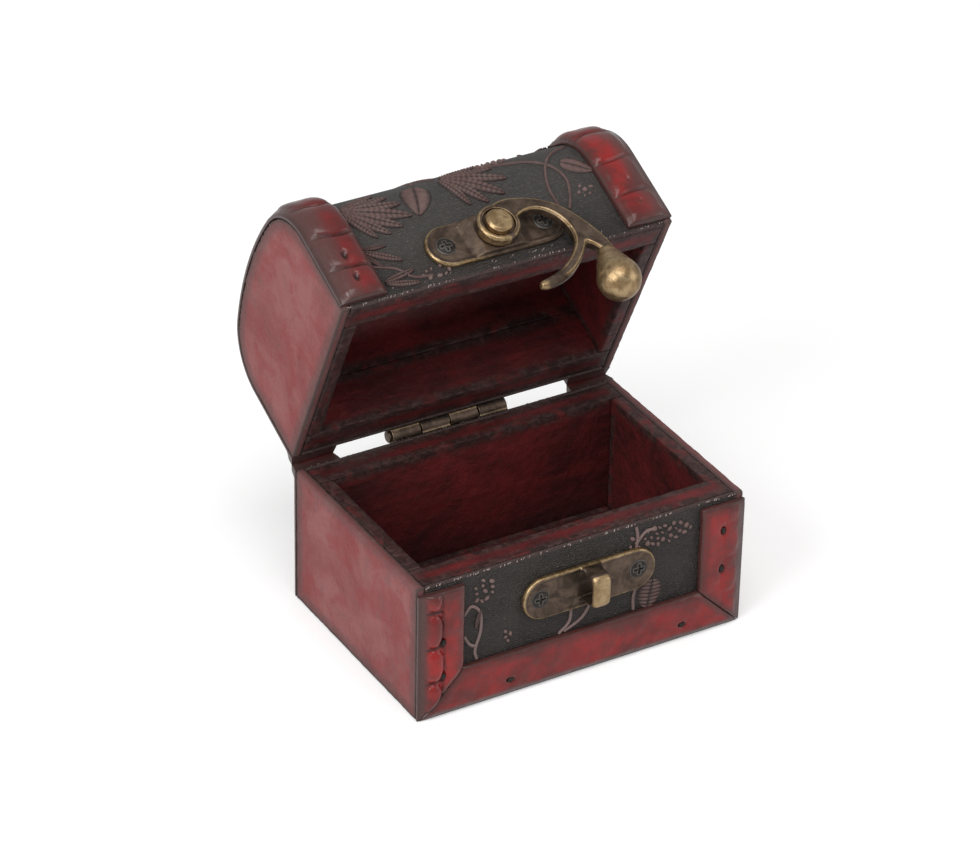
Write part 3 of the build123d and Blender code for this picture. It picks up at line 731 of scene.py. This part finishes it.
def sink_brads(lift, relief, across, along, brads, pit):
    """Presses a dimple round each brad, whose ring stays dark."""
    for brad_across, brad_along in brads:
        gap = np.hypot((across - brad_across) * half_strap * 1.25, (along - brad_along) * 0.72)
        lift = lift - pit * bump_line(gap, dimple_radius)
        relief = np.minimum(relief, np.clip((gap - 0.35) / 0.8 + max(0, 1 - pit / full_pit), 0, 1))
    return lift, relief


# %% One strap
overhang, least_lift = 0.081, 0.25


def wrap_strap(name, rows, hand, run_of, place_on_face, brads, seed, strength=1.0,
               wide=narrow_scales, full_end=False, pit=full_pit, tone=None, hangs_over=True):
    """Builds one strap. hand is 1 where its outer edge is at larger across.

    strength is how deep the scales are pressed, pit how deep a brad sits and tone how dark it is
    stained. With full_end, the strap keeps its full height where it meets another behind the hinge.
    """
    piece, around, share = fine_grid(66, rows)
    piece.name = name
    across, up = strap_section(around)
    along, length = run_of(across, share)
    outer = across * hand
    first, last = share * length, (1 - share) * length
    scales = (seed, strength, wide)
    lift, relief, nearest_end = strap_skin(across, outer, along, first, last, full_end, scales)
    lift, relief = sink_brads(lift, relief, across, along, brads, pit)
    lift = np.clip(lift, least_lift, strap_height) * up
    spread = across + overhang * np.clip(outer, 0, 1) ** 8 * hand * hangs_over
    move_points(piece, place_on_face(spread, along, lift) * MM)
    rim = np.minimum((1 - np.abs(across)) * half_strap, nearest_end)
    dusty_margin = 6.5 if wide > 0.5 else 1.9
    mark(piece, "edge", np.where(up < 1, 0.0, np.maximum(rim, 0.0)))
    mark(piece, "relief", relief)
    mark(piece, "margin", np.clip((1 - outer) * half_strap / dusty_margin, 0, 1))
    mark(piece, "dark_tone", np.full(len(share), 0.45 * (1 - strength) if tone is None else tone))
    close_strap(piece)
    return piece


# %% Straps on the body
brad_heights = {-1: (17.6, 9.6), 1: (23.6, 14.4)}
foot_brads_at, foot_brad_height = (-17.0, 23.5), 3.6
bulge = 0.26
strap_tops = {"front": 29.4, "back": 30.486 + bulge}


def corner_strap(face, side, name, top, seed, strength, full_end):
    """An upright strap, cut at the foot along its mitre with the bottom strap."""

    def run_of(across, share):
        foot = strap_outer - (strap_middle + across * side * half_strap)
        return foot + (top - foot) * share, top - foot

    def place(across, along, lift):
        return face(side * strap_middle + across * half_strap, along, lift)

    brads = [(0.0, height) for height in brad_heights[side]]
    return wrap_strap(name, 150, side, run_of, place, brads, seed, strength, full_end=full_end)


def foot_strap(face, name, seed):
    """The strap along the foot: plain leather, cut along both mitres."""

    def run_of(across, share):
        reach = strap_inner + (1 - (across + 1) / 2) * strap_width
        return reach * (2 * share - 1), 2 * reach

    def place(across, along, lift):
        return face(along, (across + 1) / 2 * strap_width, lift)

    brads = [(foot_brad_height / strap_width * 2 - 1, x) for x in foot_brads_at]
    return wrap_strap(name, 360, -1, run_of, place, brads, seed, 0.0, hangs_over=False)


for word, face in body_faces.items():
    behind = word == "back"
    for side, hand_word in ((-1, "left"), (1, "right")):
        node = f"{word}_{hand_word}_strap"
        top, seed = strap_tops[word], 20 + 7 * side + len(word)
        strength = 1.0 if side < 0 or behind else 0.15
        piece = corner_strap(face, side, node + "_leather", top, seed, strength, behind)
        finish_piece(piece, "chest_body", strap_red, [node], 60)
    node = f"{word}_bottom_strap"
    piece = foot_strap(face, node + "_leather", 50 + len(word))
    finish_piece(piece, "chest_body", strap_red, [node], 60)
print("body straps", len(piece.data.polygons), "faces in the last")

# %% Straps over the lid
strap_start, strap_end = 1.0, arch_length - 0.514 + bulge
lid_brads_at = [36.8 - lid_rim, 42.3 - lid_rim]
lid_brads_at += [arch_length - run for run in lid_brads_at]
lid_finish = {
    -1: {"strength": 0.95, "pit": 0.95, "tone": 1.0},
    1: {"strength": 0.7, "pit": 0.25, "tone": 0.25},
}


def lid_strap(side, name):
    """A strap over the whole arch, with wide scales."""

    def run_of(_, share):
        return strap_start + (strap_end - strap_start) * share, strap_end - strap_start

    def place(across, along, lift):
        return lid_face(side * strap_middle + across * half_strap, along, lift)

    brads = [(0.0, run) for run in lid_brads_at]
    worn = {"wide": wide_scales, "full_end": True, **lid_finish[side]}
    return wrap_strap(name, 440, side, run_of, place, brads, 70 + side, **worn)


for side, hand_word in ((-1, "left"), (1, "right")):
    node = f"lid_{hand_word}_strap"
    piece = lid_strap(side, node + "_leather")
    finish_piece(piece, "lid", strap_red, [node], 60)
print("lid straps", len(piece.data.polygons), "faces in the last")

# %% [markdown]
# ## Repeated small pieces
# Brads, berries, thread ends and leaves are each modelled once, flat and small, and then placed
# many times. A copy's points are turned and scaled on the flat face first and wrapped on last,
# so a leaf bends with the arch. Copies of one kind are joined into one piece.

# %% Placing copies of a pattern
def place_copies(name, pattern, face, places, relief=1.0):
    """Wraps and joins copies of a flat pattern.

    A place is across, along, heading, length, width and lift.
    """
    points = points_of(pattern).astype(float)
    faces = [tuple(polygon.vertices) for polygon in pattern.data.polygons]
    all_points, all_faces = [], []
    for number, (across, along, heading, length, width, lift) in enumerate(places):
        x, y, z = points[:, 0] * width, points[:, 1] * length, points[:, 2]
        c, s = math.cos(heading), math.sin(heading)
        all_points.append(face(across + y * c - x * s, along + y * s + x * c, z * lift))
        all_faces += [tuple(v + number * len(points) for v in polygon) for polygon in faces]
    mesh = bpy.data.meshes.new(name)
    mesh.from_pydata((np.vstack(all_points) * MM).tolist(), [], all_faces)
    piece = new_object(name, mesh)
    mark(piece, "relief", np.tile(np.broadcast_to(relief, len(points)), len(places)))
    with edit_mode(piece):
        bpy.ops.mesh.normals_make_consistent(inside=False)
    return piece


def pebble(segments, rings, flatten=1.0, raised=0.0):
    """A little pebble of radius 1, flattened and raised."""
    sphere = bpy.ops.mesh.primitive_uv_sphere_add
    pattern = added(sphere, segments=segments, ring_count=rings, radius=1)
    points = points_of(pattern)
    points[:, 2] = points[:, 2] * flatten + raised
    move_points(pattern, points)
    return pattern


def join(pieces, name):
    """Joins pieces into the first one and names it."""
    activate(pieces[0])
    for piece in pieces:
        piece.select_set(True)
    bpy.ops.object.join()
    pieces[0].name = name
    return pieces[0]


# %% Brads in their dimples
brad = pebble(16, 8, flatten=0.32, raised=1.42)
body_brads = [
    (side * strap_middle, height, math.pi / 2 + 0.3 * side, 0.78, 0.55, 1)
    for side in (-1, 1)
    for height in brad_heights[side]
]
body_brads += [(x, foot_brad_height, 0.4, 0.70, 0.50, 1) for x in foot_brads_at]
lid_brads = [
    (side * strap_middle, run, 1.2 * side, 0.66, 0.36, 1)
    for side in (-1, 1)
    for run in lid_brads_at
]
for word, face in body_faces.items():
    piece = place_copies(f"{word}_brads_steel", brad, face, body_brads)
    finish_piece(piece, "chest_body", steel, [f"{word}_brads"], 60)
piece = place_copies("lid_brads_steel", brad, lid_face, lid_brads)
finish_piece(piece, "lid", steel, ["lid_brads"], 60)
bpy.data.objects.remove(brad)
print("brads", 2 * len(body_brads) + len(lid_brads))

# %% [markdown]
# ## Foliage
# The cover is embossed with a traditional vine: sprays of ribbed leaves, a heart leaf, looping
# stems and clusters of berries. A ribbed leaf is a grid whose outline is a sine bow, with a
# groove down the middle and herringbone ridges. The layout is drawn freely, with about as much
# foliage as the real cover has. It is repeated, turned round, on the back.

# %% Leaf patterns
def leaf_pattern(outline, ribs, rib_depth):
    """A leaf of length 1 and half width 1, raised by up to 1, with its relief."""
    leaf, across, share = fine_grid(10, 60)
    half = outline(share) * (1 + 0.10 * rib_depth * np.cos(2 * math.pi * (share * ribs - 0.55)))
    ridge = np.abs(np.sin(math.pi * (share * ribs - 0.55 * np.abs(across)))) ** 0.7
    vein = np.exp(-((across / 0.12) ** 2))
    ends = np.clip(np.minimum(share, 1 - share) / 0.04, 0, 1) ** 0.5
    bed = np.clip(1 - np.abs(across) ** 4, 0, 1) * ends
    height = bed * (1 - rib_depth * (1 - ridge)) * (1 - 0.55 * vein)
    move_points(leaf, np.column_stack([across * half, share, height - 0.25 * (1 - bed)]))
    return leaf, np.clip(height, 0, 1)


blade = leaf_pattern(lambda s: np.sin(math.pi * s**0.95) ** 0.60, 13, 0.50)
heart = leaf_pattern(lambda s: 1.25 * s**0.38 * (1 - s) ** 0.72 * 1.35, 5, 0.16)
fan = leaf_pattern(lambda s: 1.1 * s**0.5 * (1 - s) ** 0.42 * 1.5, 8, 0.75)

# %% Sprays of leaves
def spray(across, along, heading, count, length, spread):
    """Ribbed leaves fanned out from one point, the middle ones longest."""
    leaves = []
    for number in range(count):
        place = number / (count - 1) - 0.5 if count > 1 else 0
        size = length * (1 - 0.45 * abs(place) * 1.6)
        angle = math.radians(heading + spread * place)
        foot = (across + 1.2 * math.cos(angle), along + 1.2 * math.sin(angle))
        leaves.append((*foot, angle, size, size * 0.125, 0.60))
    return leaves


def both_halves(places):
    """The layout of the lid's front half and the same one turned half round for its back half."""
    return places + [
        (-x, arch_length - run, heading + math.pi, *rest) for x, run, heading, *rest in places
    ]


lid_sprays = [
    (-28.5, 23.2, -22, 7, 14.8, 74), (-29.0, 12.5, -30, 3, 8.5, 50), (-28.0, 3.6, -2, 2, 11.5, 22),
    (-4.0, 26.2, -32, 6, 14.8, 82), (24.5, 30, 70, 3, 8.5, 60), (6, 45, 150, 4, 11.0, 60),
    (-20, 44, 25, 4, 10.0, 60),
]
lid_leaves = both_halves([leaf for row in lid_sprays for leaf in spray(*row)])
lid_hearts = both_halves([
    (-9.4, 25.0, math.radians(-110), 8.8, 4.2, 0.40),
    (22.2, 20.8, math.radians(-36), 7.2, 2.7, 0.34),
])
body_leaves = spray(-25.0, 16.5, 75, 1, 4.6, 0)
body_fans = [(15.6, 9.4, math.radians(80), 7.0, 3.7, 0.34)]
foliage = {"lid": [], "front": [], "back": []}


def lay(word, kind, pattern, places):
    """Copies a pattern and its relief to these places on one face, and keeps the piece."""
    face = body_faces.get(word, lid_face)
    foliage[word].append(place_copies(f"{word}_{kind}", pattern[0], face, places, pattern[1]))
    return foliage[word][-1]


leaf_layouts = [("lid", "blades", blade, lid_leaves), ("lid", "hearts", heart, lid_hearts)]
for word in body_faces:
    leaf_layouts += [(word, "blades", blade, body_leaves), (word, "fans", fan, body_fans)]
for layout in leaf_layouts:
    apply_modifier(lay(*layout), "SOLIDIFY", thickness=0.15 * MM, offset=-1)
for pattern in (blade, heart, fan):
    bpy.data.objects.remove(pattern[0])
print("leaves", len(lid_leaves) + len(lid_hearts) + 2 * len(body_leaves + body_fans))

# %% Berries
# A berry's relief of 1.45 lets the foliage finish paint a pale highlight on it.
berry = (pebble(8, 6), 1.45)
berry_gap = 1.2


def cluster(across, along, wide, high, count, seed):
    """Berries spread over an oval, no two touching."""
    random = np.random.default_rng(seed)
    chosen = []
    for _ in range(count * 60):
        angle, radius = random.uniform(0, 2 * math.pi), math.sqrt(random.uniform(0, 1))
        spot = (across + wide * radius * math.cos(angle), along + high * radius * math.sin(angle))
        if all(math.dist(spot, other[:2]) > berry_gap for other in chosen) and len(chosen) < count:
            size, heading = random.uniform(0.36, 0.70), random.uniform(0, 3)
            chosen.append((*spot, heading, size, size * random.uniform(0.50, 0.95), 0.45))
    return chosen


lid_clusters = [
    (-15.5, 3.2, 3.0, 1.4, 8, 1), (3.5, 37, 3.4, 3.8, 26, 2), (-20, 38, 3.0, 2.0, 12, 3),
    (13, 44, 4.0, 3.0, 22, 4), (-12, 47, 3.0, 3.0, 14, 5), (23.6, 12.6, 2.2, 1.3, 7, 6),
    (9.0, 28.4, 5.0, 1.9, 22, 10),
]
body_clusters = [
    (-22.6, 26.0, 2.6, 2.6, 15, 7), (-17.2, 13.2, 0.8, 1.6, 4, 8), (18.0, 26.3, 7.5, 2.2, 34, 9),
]
lid_berries = both_halves([one for row in lid_clusters for one in cluster(*row)])
body_berries = [one for row in body_clusters for one in cluster(*row)]
for word in foliage:
    lay(word, "berries", berry, lid_berries if word == "lid" else body_berries)
bpy.data.objects.remove(berry[0])
print("berries", len(lid_berries) + 2 * len(body_berries))

# %% Stems
def smooth_line(knots, steps=14):
    """Points on a smooth line that passes through each of a few knots."""
    knots = np.array(knots, float)
    share = np.linspace(0, len(knots) - 1, steps * len(knots))
    padded = np.vstack([2 * knots[0] - knots[1], knots, 2 * knots[-1] - knots[-2]])
    first = np.clip(share.astype(int), 0, len(knots) - 2)
    t = (share - first)[:, None]
    p0, p1, p2, p3 = (padded[first + k] for k in range(4))
    square, cube = 2 * p0 - 5 * p1 + 4 * p2 - p3, 3 * p1 - p0 - 3 * p2 + p3
    return 0.5 * (2 * p1 + (p2 - p0) * t + square * t**2 + cube * t**3)


def tube(name, places, radius, roundness, closed=False):
    """A round bar along a line, as a mesh. The line's points are in millimetres."""
    curve = bpy.data.curves.new(name, "CURVE")
    curve.dimensions = "3D"
    curve.bevel_depth = radius * MM
    curve.bevel_resolution = roundness
    curve.use_fill_caps = not closed
    spline = curve.splines.new("POLY")
    spline.use_cyclic_u = closed
    spline.points.add(len(places) - 1)
    for point, place in zip(spline.points, places * MM):
        point.co = (*place, 1)
    activate(new_object(name, curve))
    bpy.ops.object.convert(target="MESH")
    return bpy.context.active_object


def stem(name, face, knots, thickness=0.30, relief=0.8):
    """A thin raised stem on a smooth line through a few points of the flat face."""
    line = smooth_line(knots)
    made = tube(name, face(line[:, 0], line[:, 1], np.full(len(line), 0.05)), thickness, 1)
    mark(made, "relief", np.full(len(made.data.vertices), relief))
    return made


lid_stems = [
    [(-27.4, 8), (-23, 6.2), (-20.5, 3.4), (-16.5, 2.6)],
    [(4.5, 28.5), (9.8, 25.8), (15.5, 24.0), (19.6, 20.8), (21.4, 16.6), (20.2, 12.4), (18.4, 9.2)],
    [(26.5, 26.2), (22.2, 24.2), (18.8, 20.6), (16.8, 15.6), (16.6, 10.8)],
    [(18.3, 31), (21.5, 33.5), (26, 33)],
    [(-27.2, 33), (-18, 35), (-9, 32.5), (-3.5, 27)],
    [(-8.4, 26.8), (-8.0, 30.5), (-9.4, 32.6)],
    [(-2, 41), (4, 43), (12, 40), (19, 42), (26, 40)],
]
body_stems = [
    [(-27.3, 21.5), (-25.6, 23.2), (-23.6, 21.2), (-23.4, 16.8), (-24.6, 12.6), (-24.2, 10.3)],
    [(-27.2, 16.5), (-25.8, 14.2), (-24.4, 13.4)],
    [(-5.2, 10.0), (-2.8, 12.2), (-2.4, 15.4)],
    [(-4.0, 10.2), (0.2, 12.3), (2.4, 15.8)],
    [(12.4, 10.2), (12.3, 13.4), (13.2, 16.6), (14.6, 18.6)],
    [(12.6, 25.2), (12.8, 27.6), (12.4, 30.0)],
    [(12.8, 26.4), (14.6, 28.2), (17.0, 28.4)],
]
for number, knots in enumerate(lid_stems):
    turned_knots = [(-x, arch_length - run) for x, run in knots]
    foliage["lid"] += [
        stem(f"lid_stem_{number}", lid_face, knots),
        stem(f"lid_back_stem_{number}", lid_face, turned_knots),
    ]
# The body's stems get a relief of 1.6, so the foliage finish paints a pale highlight on them.
for word, face in body_faces.items():
    for number, knots in enumerate(body_stems):
        foliage[word].append(stem(f"{word}_stem_{number}", face, knots, 0.36, 1.6))
for word, pieces in foliage.items():
    piece = join(pieces, f"{word}_foliage")
    body = "lid" if word == "lid" else "chest_body"
    finish_piece(piece, body, foliage_mauve, None, 50)
    print(piece.name, len(piece.data.polygons), "faces")

# %% [markdown]
# ## Frayed edges
# Where the cloth was cut along the rims, pale thread ends stand out as a dotted line. One short
# tapered thread is copied along each cut, at slightly different angles.

# %% Thread ends along the cuts
taper = {"vertices": 6, "radius1": 1, "radius2": 0.55, "depth": 2}
thread = added(bpy.ops.mesh.primitive_cone_add, end_fill_type="TRIFAN", **taper)
move_points(thread, points_of(thread)[:, [0, 2, 1]] * (1, 0.5, 1))
random = np.random.default_rng(31)
cloth_end = 36.5


def cut_line(along, end=cloth_end, pitch=0.62, share=0.80, stray=0.12):
    """Thread ends in a row at this height, with gaps."""
    row = []
    for across in np.arange(-end, end, pitch):
        swell = 0.55 + 0.45 * math.sin(0.9 * across + 2 * math.sin(0.37 * across))
        if random.uniform() < share * swell:
            heading = math.radians(random.uniform(10, 80))
            size = random.uniform(0.24, 0.60)
            place = (across + random.uniform(-0.25, 0.25), along + random.uniform(-stray, stray))
            row.append((*place, heading, size, 0.13, 0.16))
    return row


for word, face in body_faces.items():
    piece = place_copies(f"{word}_cut_threads", thread, face, cut_line(30.7))
    finish_piece(piece, "chest_body", thread_pale, None, 40)
lid_rows = cut_line(0.45) + cut_line(1.9, 27, 0.7, 0.5, 0.35) + cut_line(arch_length - 0.45)
piece = place_copies("lid_cut_threads", thread, lid_face, lid_rows)
finish_piece(piece, "lid", thread_pale, None, 40)
bpy.data.objects.remove(thread)
print("thread ends on the lid", len(lid_rows))

# %% [markdown]
# ## Brass and steel
# The clasp is cast and pressed brass with soft, rubbed rims. What the frame leaves plain is added
# here as overlapping solids: the plates' rolled rims, the hook's pear-shaped neck and the last
# of its claw. A voxel remesh makes each heap of solids one skin, and smoothing rounds it, as
# casting and tumbling round the real ones.

# %% Solids to add before the remesh
hook_height = 39.0
plate_length, plate_width = 31.0, 9.8
plates = {"hook_plate": (0.0, hook_height), "catch_plate": (1.3, 20.4)}
claw_starts, claw_turns, claw_radius, claw_curl = -60, 25.5, 16.75, 0.35
claw_lift, claw_half_width, claw_half_depth = 3.6, 1.28, 1.12
ball_middle = Vector((0.899 * 17.9, -half_depth - 6.15, hook_height - 1.168 * 17.9)) * MM
neck_top = Vector((18.0, -half_depth - 4.1, hook_height - 12.9)) * MM


def rolled_rim(name, middle, height, radius=0.55, lift=0.72):
    """A ring of round section along the edge of a plate with round ends."""
    corner, run = plate_width / 2 - radius, plate_length / 2 - plate_width / 2
    angles = np.linspace(-math.pi / 2, math.pi / 2, 24)
    out, up = run + corner * np.cos(angles), corner * np.sin(angles)
    x, z = np.concatenate([middle + out, middle - out]), np.concatenate([height + up, height - up])
    y = np.full(len(x), -half_depth - lift)
    return tube(name, np.column_stack([x, y, z]), radius, 3, closed=True)


def claw_tip():
    """The last of the claw: a bar bent round the rivet that narrows to a blunt point."""
    bar = added(bpy.ops.mesh.primitive_cube_add, size=2)
    with edit_mode(bar):
        bpy.ops.mesh.subdivide(number_cuts=11)
    share, forward, outward = points_of(bar).astype(float).T
    share = (share + 1) / 2
    round_off = np.maximum(1, np.hypot(forward, outward))
    angle = np.radians(claw_starts - claw_turns * share)
    taper = np.clip(1.06 - 0.26 * share**1.5 - 0.30 * share**12, 0.1, 1)
    radius = claw_radius - claw_curl * share**1.6 + claw_half_width * taper * outward / round_off
    lift = claw_lift + claw_half_depth * (0.45 + 0.55 * taper) * forward / round_off
    places = [radius * np.cos(angle), -half_depth - lift, hook_height + radius * np.sin(angle)]
    move_points(bar, np.column_stack(places) * MM)
    return bar


def pear_neck():
    """A cone that swells from the arm and meets the ball at a tangent."""
    axis = (ball_middle - neck_top).normalized()
    touch = ball_middle - axis * 1.42 * MM
    run = touch - neck_top
    swell = {"radius1": 1.9 * MM, "radius2": 4.27 * MM, "depth": run.length}
    cone = added(bpy.ops.mesh.primitive_cone_add, vertices=48, **swell)
    lean = run.to_track_quat("Z", "Y").to_matrix().to_4x4()
    cone.matrix_world = Matrix.Translation((touch + neck_top) / 2) @ lean
    bpy.ops.object.transform_apply(location=True, rotation=True, scale=True)
    return cone


# %% From a heap of solids to a casting
def cast_copy(node, voxel, smoothing, extras=()):
    """A frame part and its extra solids as one smooth casting, with its edge distances."""
    piece = node_copy(node, node + "_brass")
    tree = sharp_edge_tree(piece, spacing=0.12 * MM)
    piece = join([piece, *extras], node + "_brass")
    apply_modifier(piece, "REMESH", mode="VOXEL", voxel_size=voxel * MM)
    apply_modifier(piece, "SMOOTH", factor=0.5, iterations=smoothing)
    mark_edges(piece, tree)
    return piece


def edges_of(piece):
    """The distances to the nearest sharp edge, in millimetres."""
    return np.array([v.value for v in piece.data.attributes["edge"].data])


def finish_brass(piece, node, edges):
    """Sets where the brass is rubbed, by new edge distances, and finishes the piece."""
    piece.data.attributes["edge"].data.foreach_set("value", np.asarray(edges, np.float32))
    finish_piece(piece, body_of[node], brass, [node], 60)
    print(node, len(piece.data.polygons), "faces")


# %% The two plates
loop_foot, loop_wall, loop_top = 1.5, 2.2, 5.2


def slot_distance(points, middle, height):
    """How far inside a plate's outline each point lies, in millimetres."""
    x, z = points[:, 0] / MM - middle, points[:, 2] / MM - height
    run = plate_length / 2 - plate_width / 2
    return np.maximum(plate_width / 2 - np.hypot(np.maximum(np.abs(x) - run, 0), z), 0)


def round_loop(points, lift, power=4.6):
    """Pulls the loop's corners in towards a soft box, as a pressed loop's corners are."""
    loop = lift > loop_wall
    low, high = points[loop].min(0), points[loop].max(0)
    middle, half = (low + high) / 2, (high - low) / 2
    out = np.clip((lift - loop_foot) / (lift.max() - loop_foot), 0, None)
    aside, up = (points[:, 0] - middle[0]) / half[0], (points[:, 2] - middle[2]) / half[2]
    norm = (np.abs(aside) ** power + np.abs(up) ** power + out**power) ** (1 / power)
    pull = np.where(out > 0, 1 + (1 / np.maximum(norm, 1) - 1) * np.clip(out * 4, 0, 1), 1)
    forward = (-half_depth - loop_foot - (lift - loop_foot) * pull) * MM
    return np.column_stack([
        middle[0] + (points[:, 0] - middle[0]) * pull,
        np.where(out > 0, forward, points[:, 1]),
        middle[2] + (points[:, 2] - middle[2]) * pull,
    ])


for node, (middle, height) in plates.items():
    piece = cast_copy(node, 0.17, 7, [rolled_rim(node + "_rim", middle, height)])
    points = points_of(piece)
    lift = -points[:, 1] / MM - half_depth
    edges = slot_distance(points, middle, height)
    if node == "hook_plate":
        # The hook plate's rims are duller towards the right, under the hook: partly a painted shadow of the hook,
        # partly less rubbing.
        edges = edges + np.clip((points[:, 0] / MM + 9) / 14, 0, 0.45)
    else:
        move_points(piece, round_loop(points, lift))
        edges = np.where(lift > loop_top, 0.25, np.where(lift > loop_foot, 0.8, edges))
    finish_brass(piece, node, edges)

# %% The hook
claw_reach, tip_starts, end_starts = 19, -64, -76
rubbed_ball, ball_fade = 7.0, 4.5
piece = cast_copy("swing_hook", 0.17, 9, [claw_tip(), pear_neck()])
points = points_of(piece)
x, z = points[:, 0] / MM, points[:, 2] / MM - hook_height
turn, on_claw = np.degrees(np.arctan2(z, x)), np.hypot(z, x) < claw_reach
to_ball = np.linalg.norm(points - np.array(ball_middle), axis=1) / MM
near_ball = np.clip((to_ball - rubbed_ball) / ball_fade, 0.24, far_from_edge)
edges = np.minimum(edges_of(piece) * 2.3, near_ball)
edges = edges + np.clip((tip_starts - turn) / 5, 0, 1) * on_claw * np.clip(0.8 - edges, 0, 1)
rubbed_end = np.minimum(edges, np.clip((turn + 84.5) / 9, 0.15, far_from_edge))
finish_brass(piece, "swing_hook", np.where((turn < end_starts) & on_claw, rubbed_end, edges))

# %% Rivet and hinge
piece = cast_copy("hook_rivet", 0.13, 3)
finish_brass(piece, "hook_rivet", np.full(len(piece.data.vertices), 0.2))
for node, voxel in {"hinge_body_leaf": 0.15, "hinge_lid_leaf": 0.15, "hinge_pin": 0.12}.items():
    piece = cast_copy(node, voxel, 1)
    finish_brass(piece, node, 0.22 + 2.2 * edges_of(piece))

# %% Screws
for node in ("catch_screws", "hook_plate_screws", "hinge_body_screws", "hinge_lid_screws"):
    piece = node_copy(node, node + "_steel")
    tree = sharp_edge_tree(piece)
    width, turn = 0.06 * MM, 0.6
    apply_modifier(piece, "BEVEL", width=width, segments=2, limit_method="ANGLE", angle_limit=turn)
    mark_edges(piece, tree)
    finish_piece(piece, body_of[node], steel, [node], 40)
    print(node, len(piece.data.polygons), "faces")

# %% [markdown]
# ## The light, the floor and the camera
# The photograph was taken from the front left and above with a long lens, in soft studio light.
# The camera's place and lens were worked out from the chest's own corners. The floor and the
# world are white to the camera, and they light the chest at a plain level.

# %% Camera
picture_width, lens_in_pixels = 980, 4270.36
camera_distance, camera_left, camera_up = 0.88198, 0.005354, 0.037405
azimuth, elevation, roll = (math.radians(a) for a in (-30.944, 31.610, 1.233))
level = math.cos(elevation)
back = Vector((math.sin(azimuth) * level, -math.cos(azimuth) * level, math.sin(elevation)))
right = (-back).cross(Vector((0, 0, 1))).normalized()
up = right.cross(-back)
c, s = math.cos(roll), math.sin(roll)
right, up = right * c + up * s, up * c - right * s
stand = back * camera_distance - right * camera_left + up * camera_up
camera_data = bpy.data.cameras.new("camera")
camera_data.sensor_width = 36.0
camera_data.lens = lens_in_pixels * camera_data.sensor_width / picture_width
camera = new_object("camera", camera_data)
camera.matrix_world = Matrix([*zip(right, up, back, stand), (0, 0, 0, 1)])
bpy.context.scene.camera = camera
print("camera at", [round(v, 3) for v in stand], "lens", round(camera_data.lens, 1), "mm")

# %% Floor, world and lamps
floor = added(bpy.ops.mesh.primitive_plane_add, size=6, location=(0, 0, -0.0002))
floor.name = "studio_floor"
floor_white = w = Finish("floor_white", (0.82, 0.82, 0.82), Roughness=0.9, Specular_IOR_Level=0.1)
w.shader["Base Color"].default_value = (0.82, 0.82, 0.82, 1.0)
to_camera = w.node("ShaderNodeLightPath").outputs["Is Camera Ray"]
glow = w.node("ShaderNodeEmission", {"Color": (1, 1, 1, 1), "Strength": w.times(to_camera, 0.30)})
principled = w.tree.nodes["Principled BSDF"].outputs[0]
both = w.node("ShaderNodeAddShader", {0: principled, 1: glow.outputs[0]})
w.link(both.outputs[0], w.tree.nodes["Material Output"].inputs["Surface"])
floor.data.materials.append(floor_white.material)

world = bpy.data.worlds.new("studio")
bpy.context.scene.world = world
world.use_nodes = True
w = Wiring(world.node_tree)
path = w.node("ShaderNodeLightPath").outputs
seen = w.math("MAXIMUM", path["Is Camera Ray"], path["Is Transmission Ray"], clamp=True)
ground = world.node_tree.nodes["Background"].inputs
ground["Color"].default_value = (1, 1, 1, 1)
w.link(w.math("ADD", w.math("MULTIPLY", seen, 0.5), 0.5), ground["Strength"])


def lamp(name, place, size, watts):
    """A square soft lamp that faces the middle of the chest."""
    data = bpy.data.lights.new(name, "AREA")
    data.size = size
    data.energy = watts
    made = new_object(name, data)
    made.location = place
    aim = Vector((0, 0, 0.04)) - Vector(place)
    made.rotation_euler = aim.to_track_quat("-Z", "Y").to_euler()


lamp("left_softbox", (-0.75, -0.25, 0.55), 0.5, 4.2)
lamp("top_softbox", (-0.1, -0.35, 0.95), 0.6, 3.6)
lamp("right_fill", (0.8, -0.6, 0.4), 0.6, 1.4)
bpy.context.scene.view_settings.view_transform = "Standard"
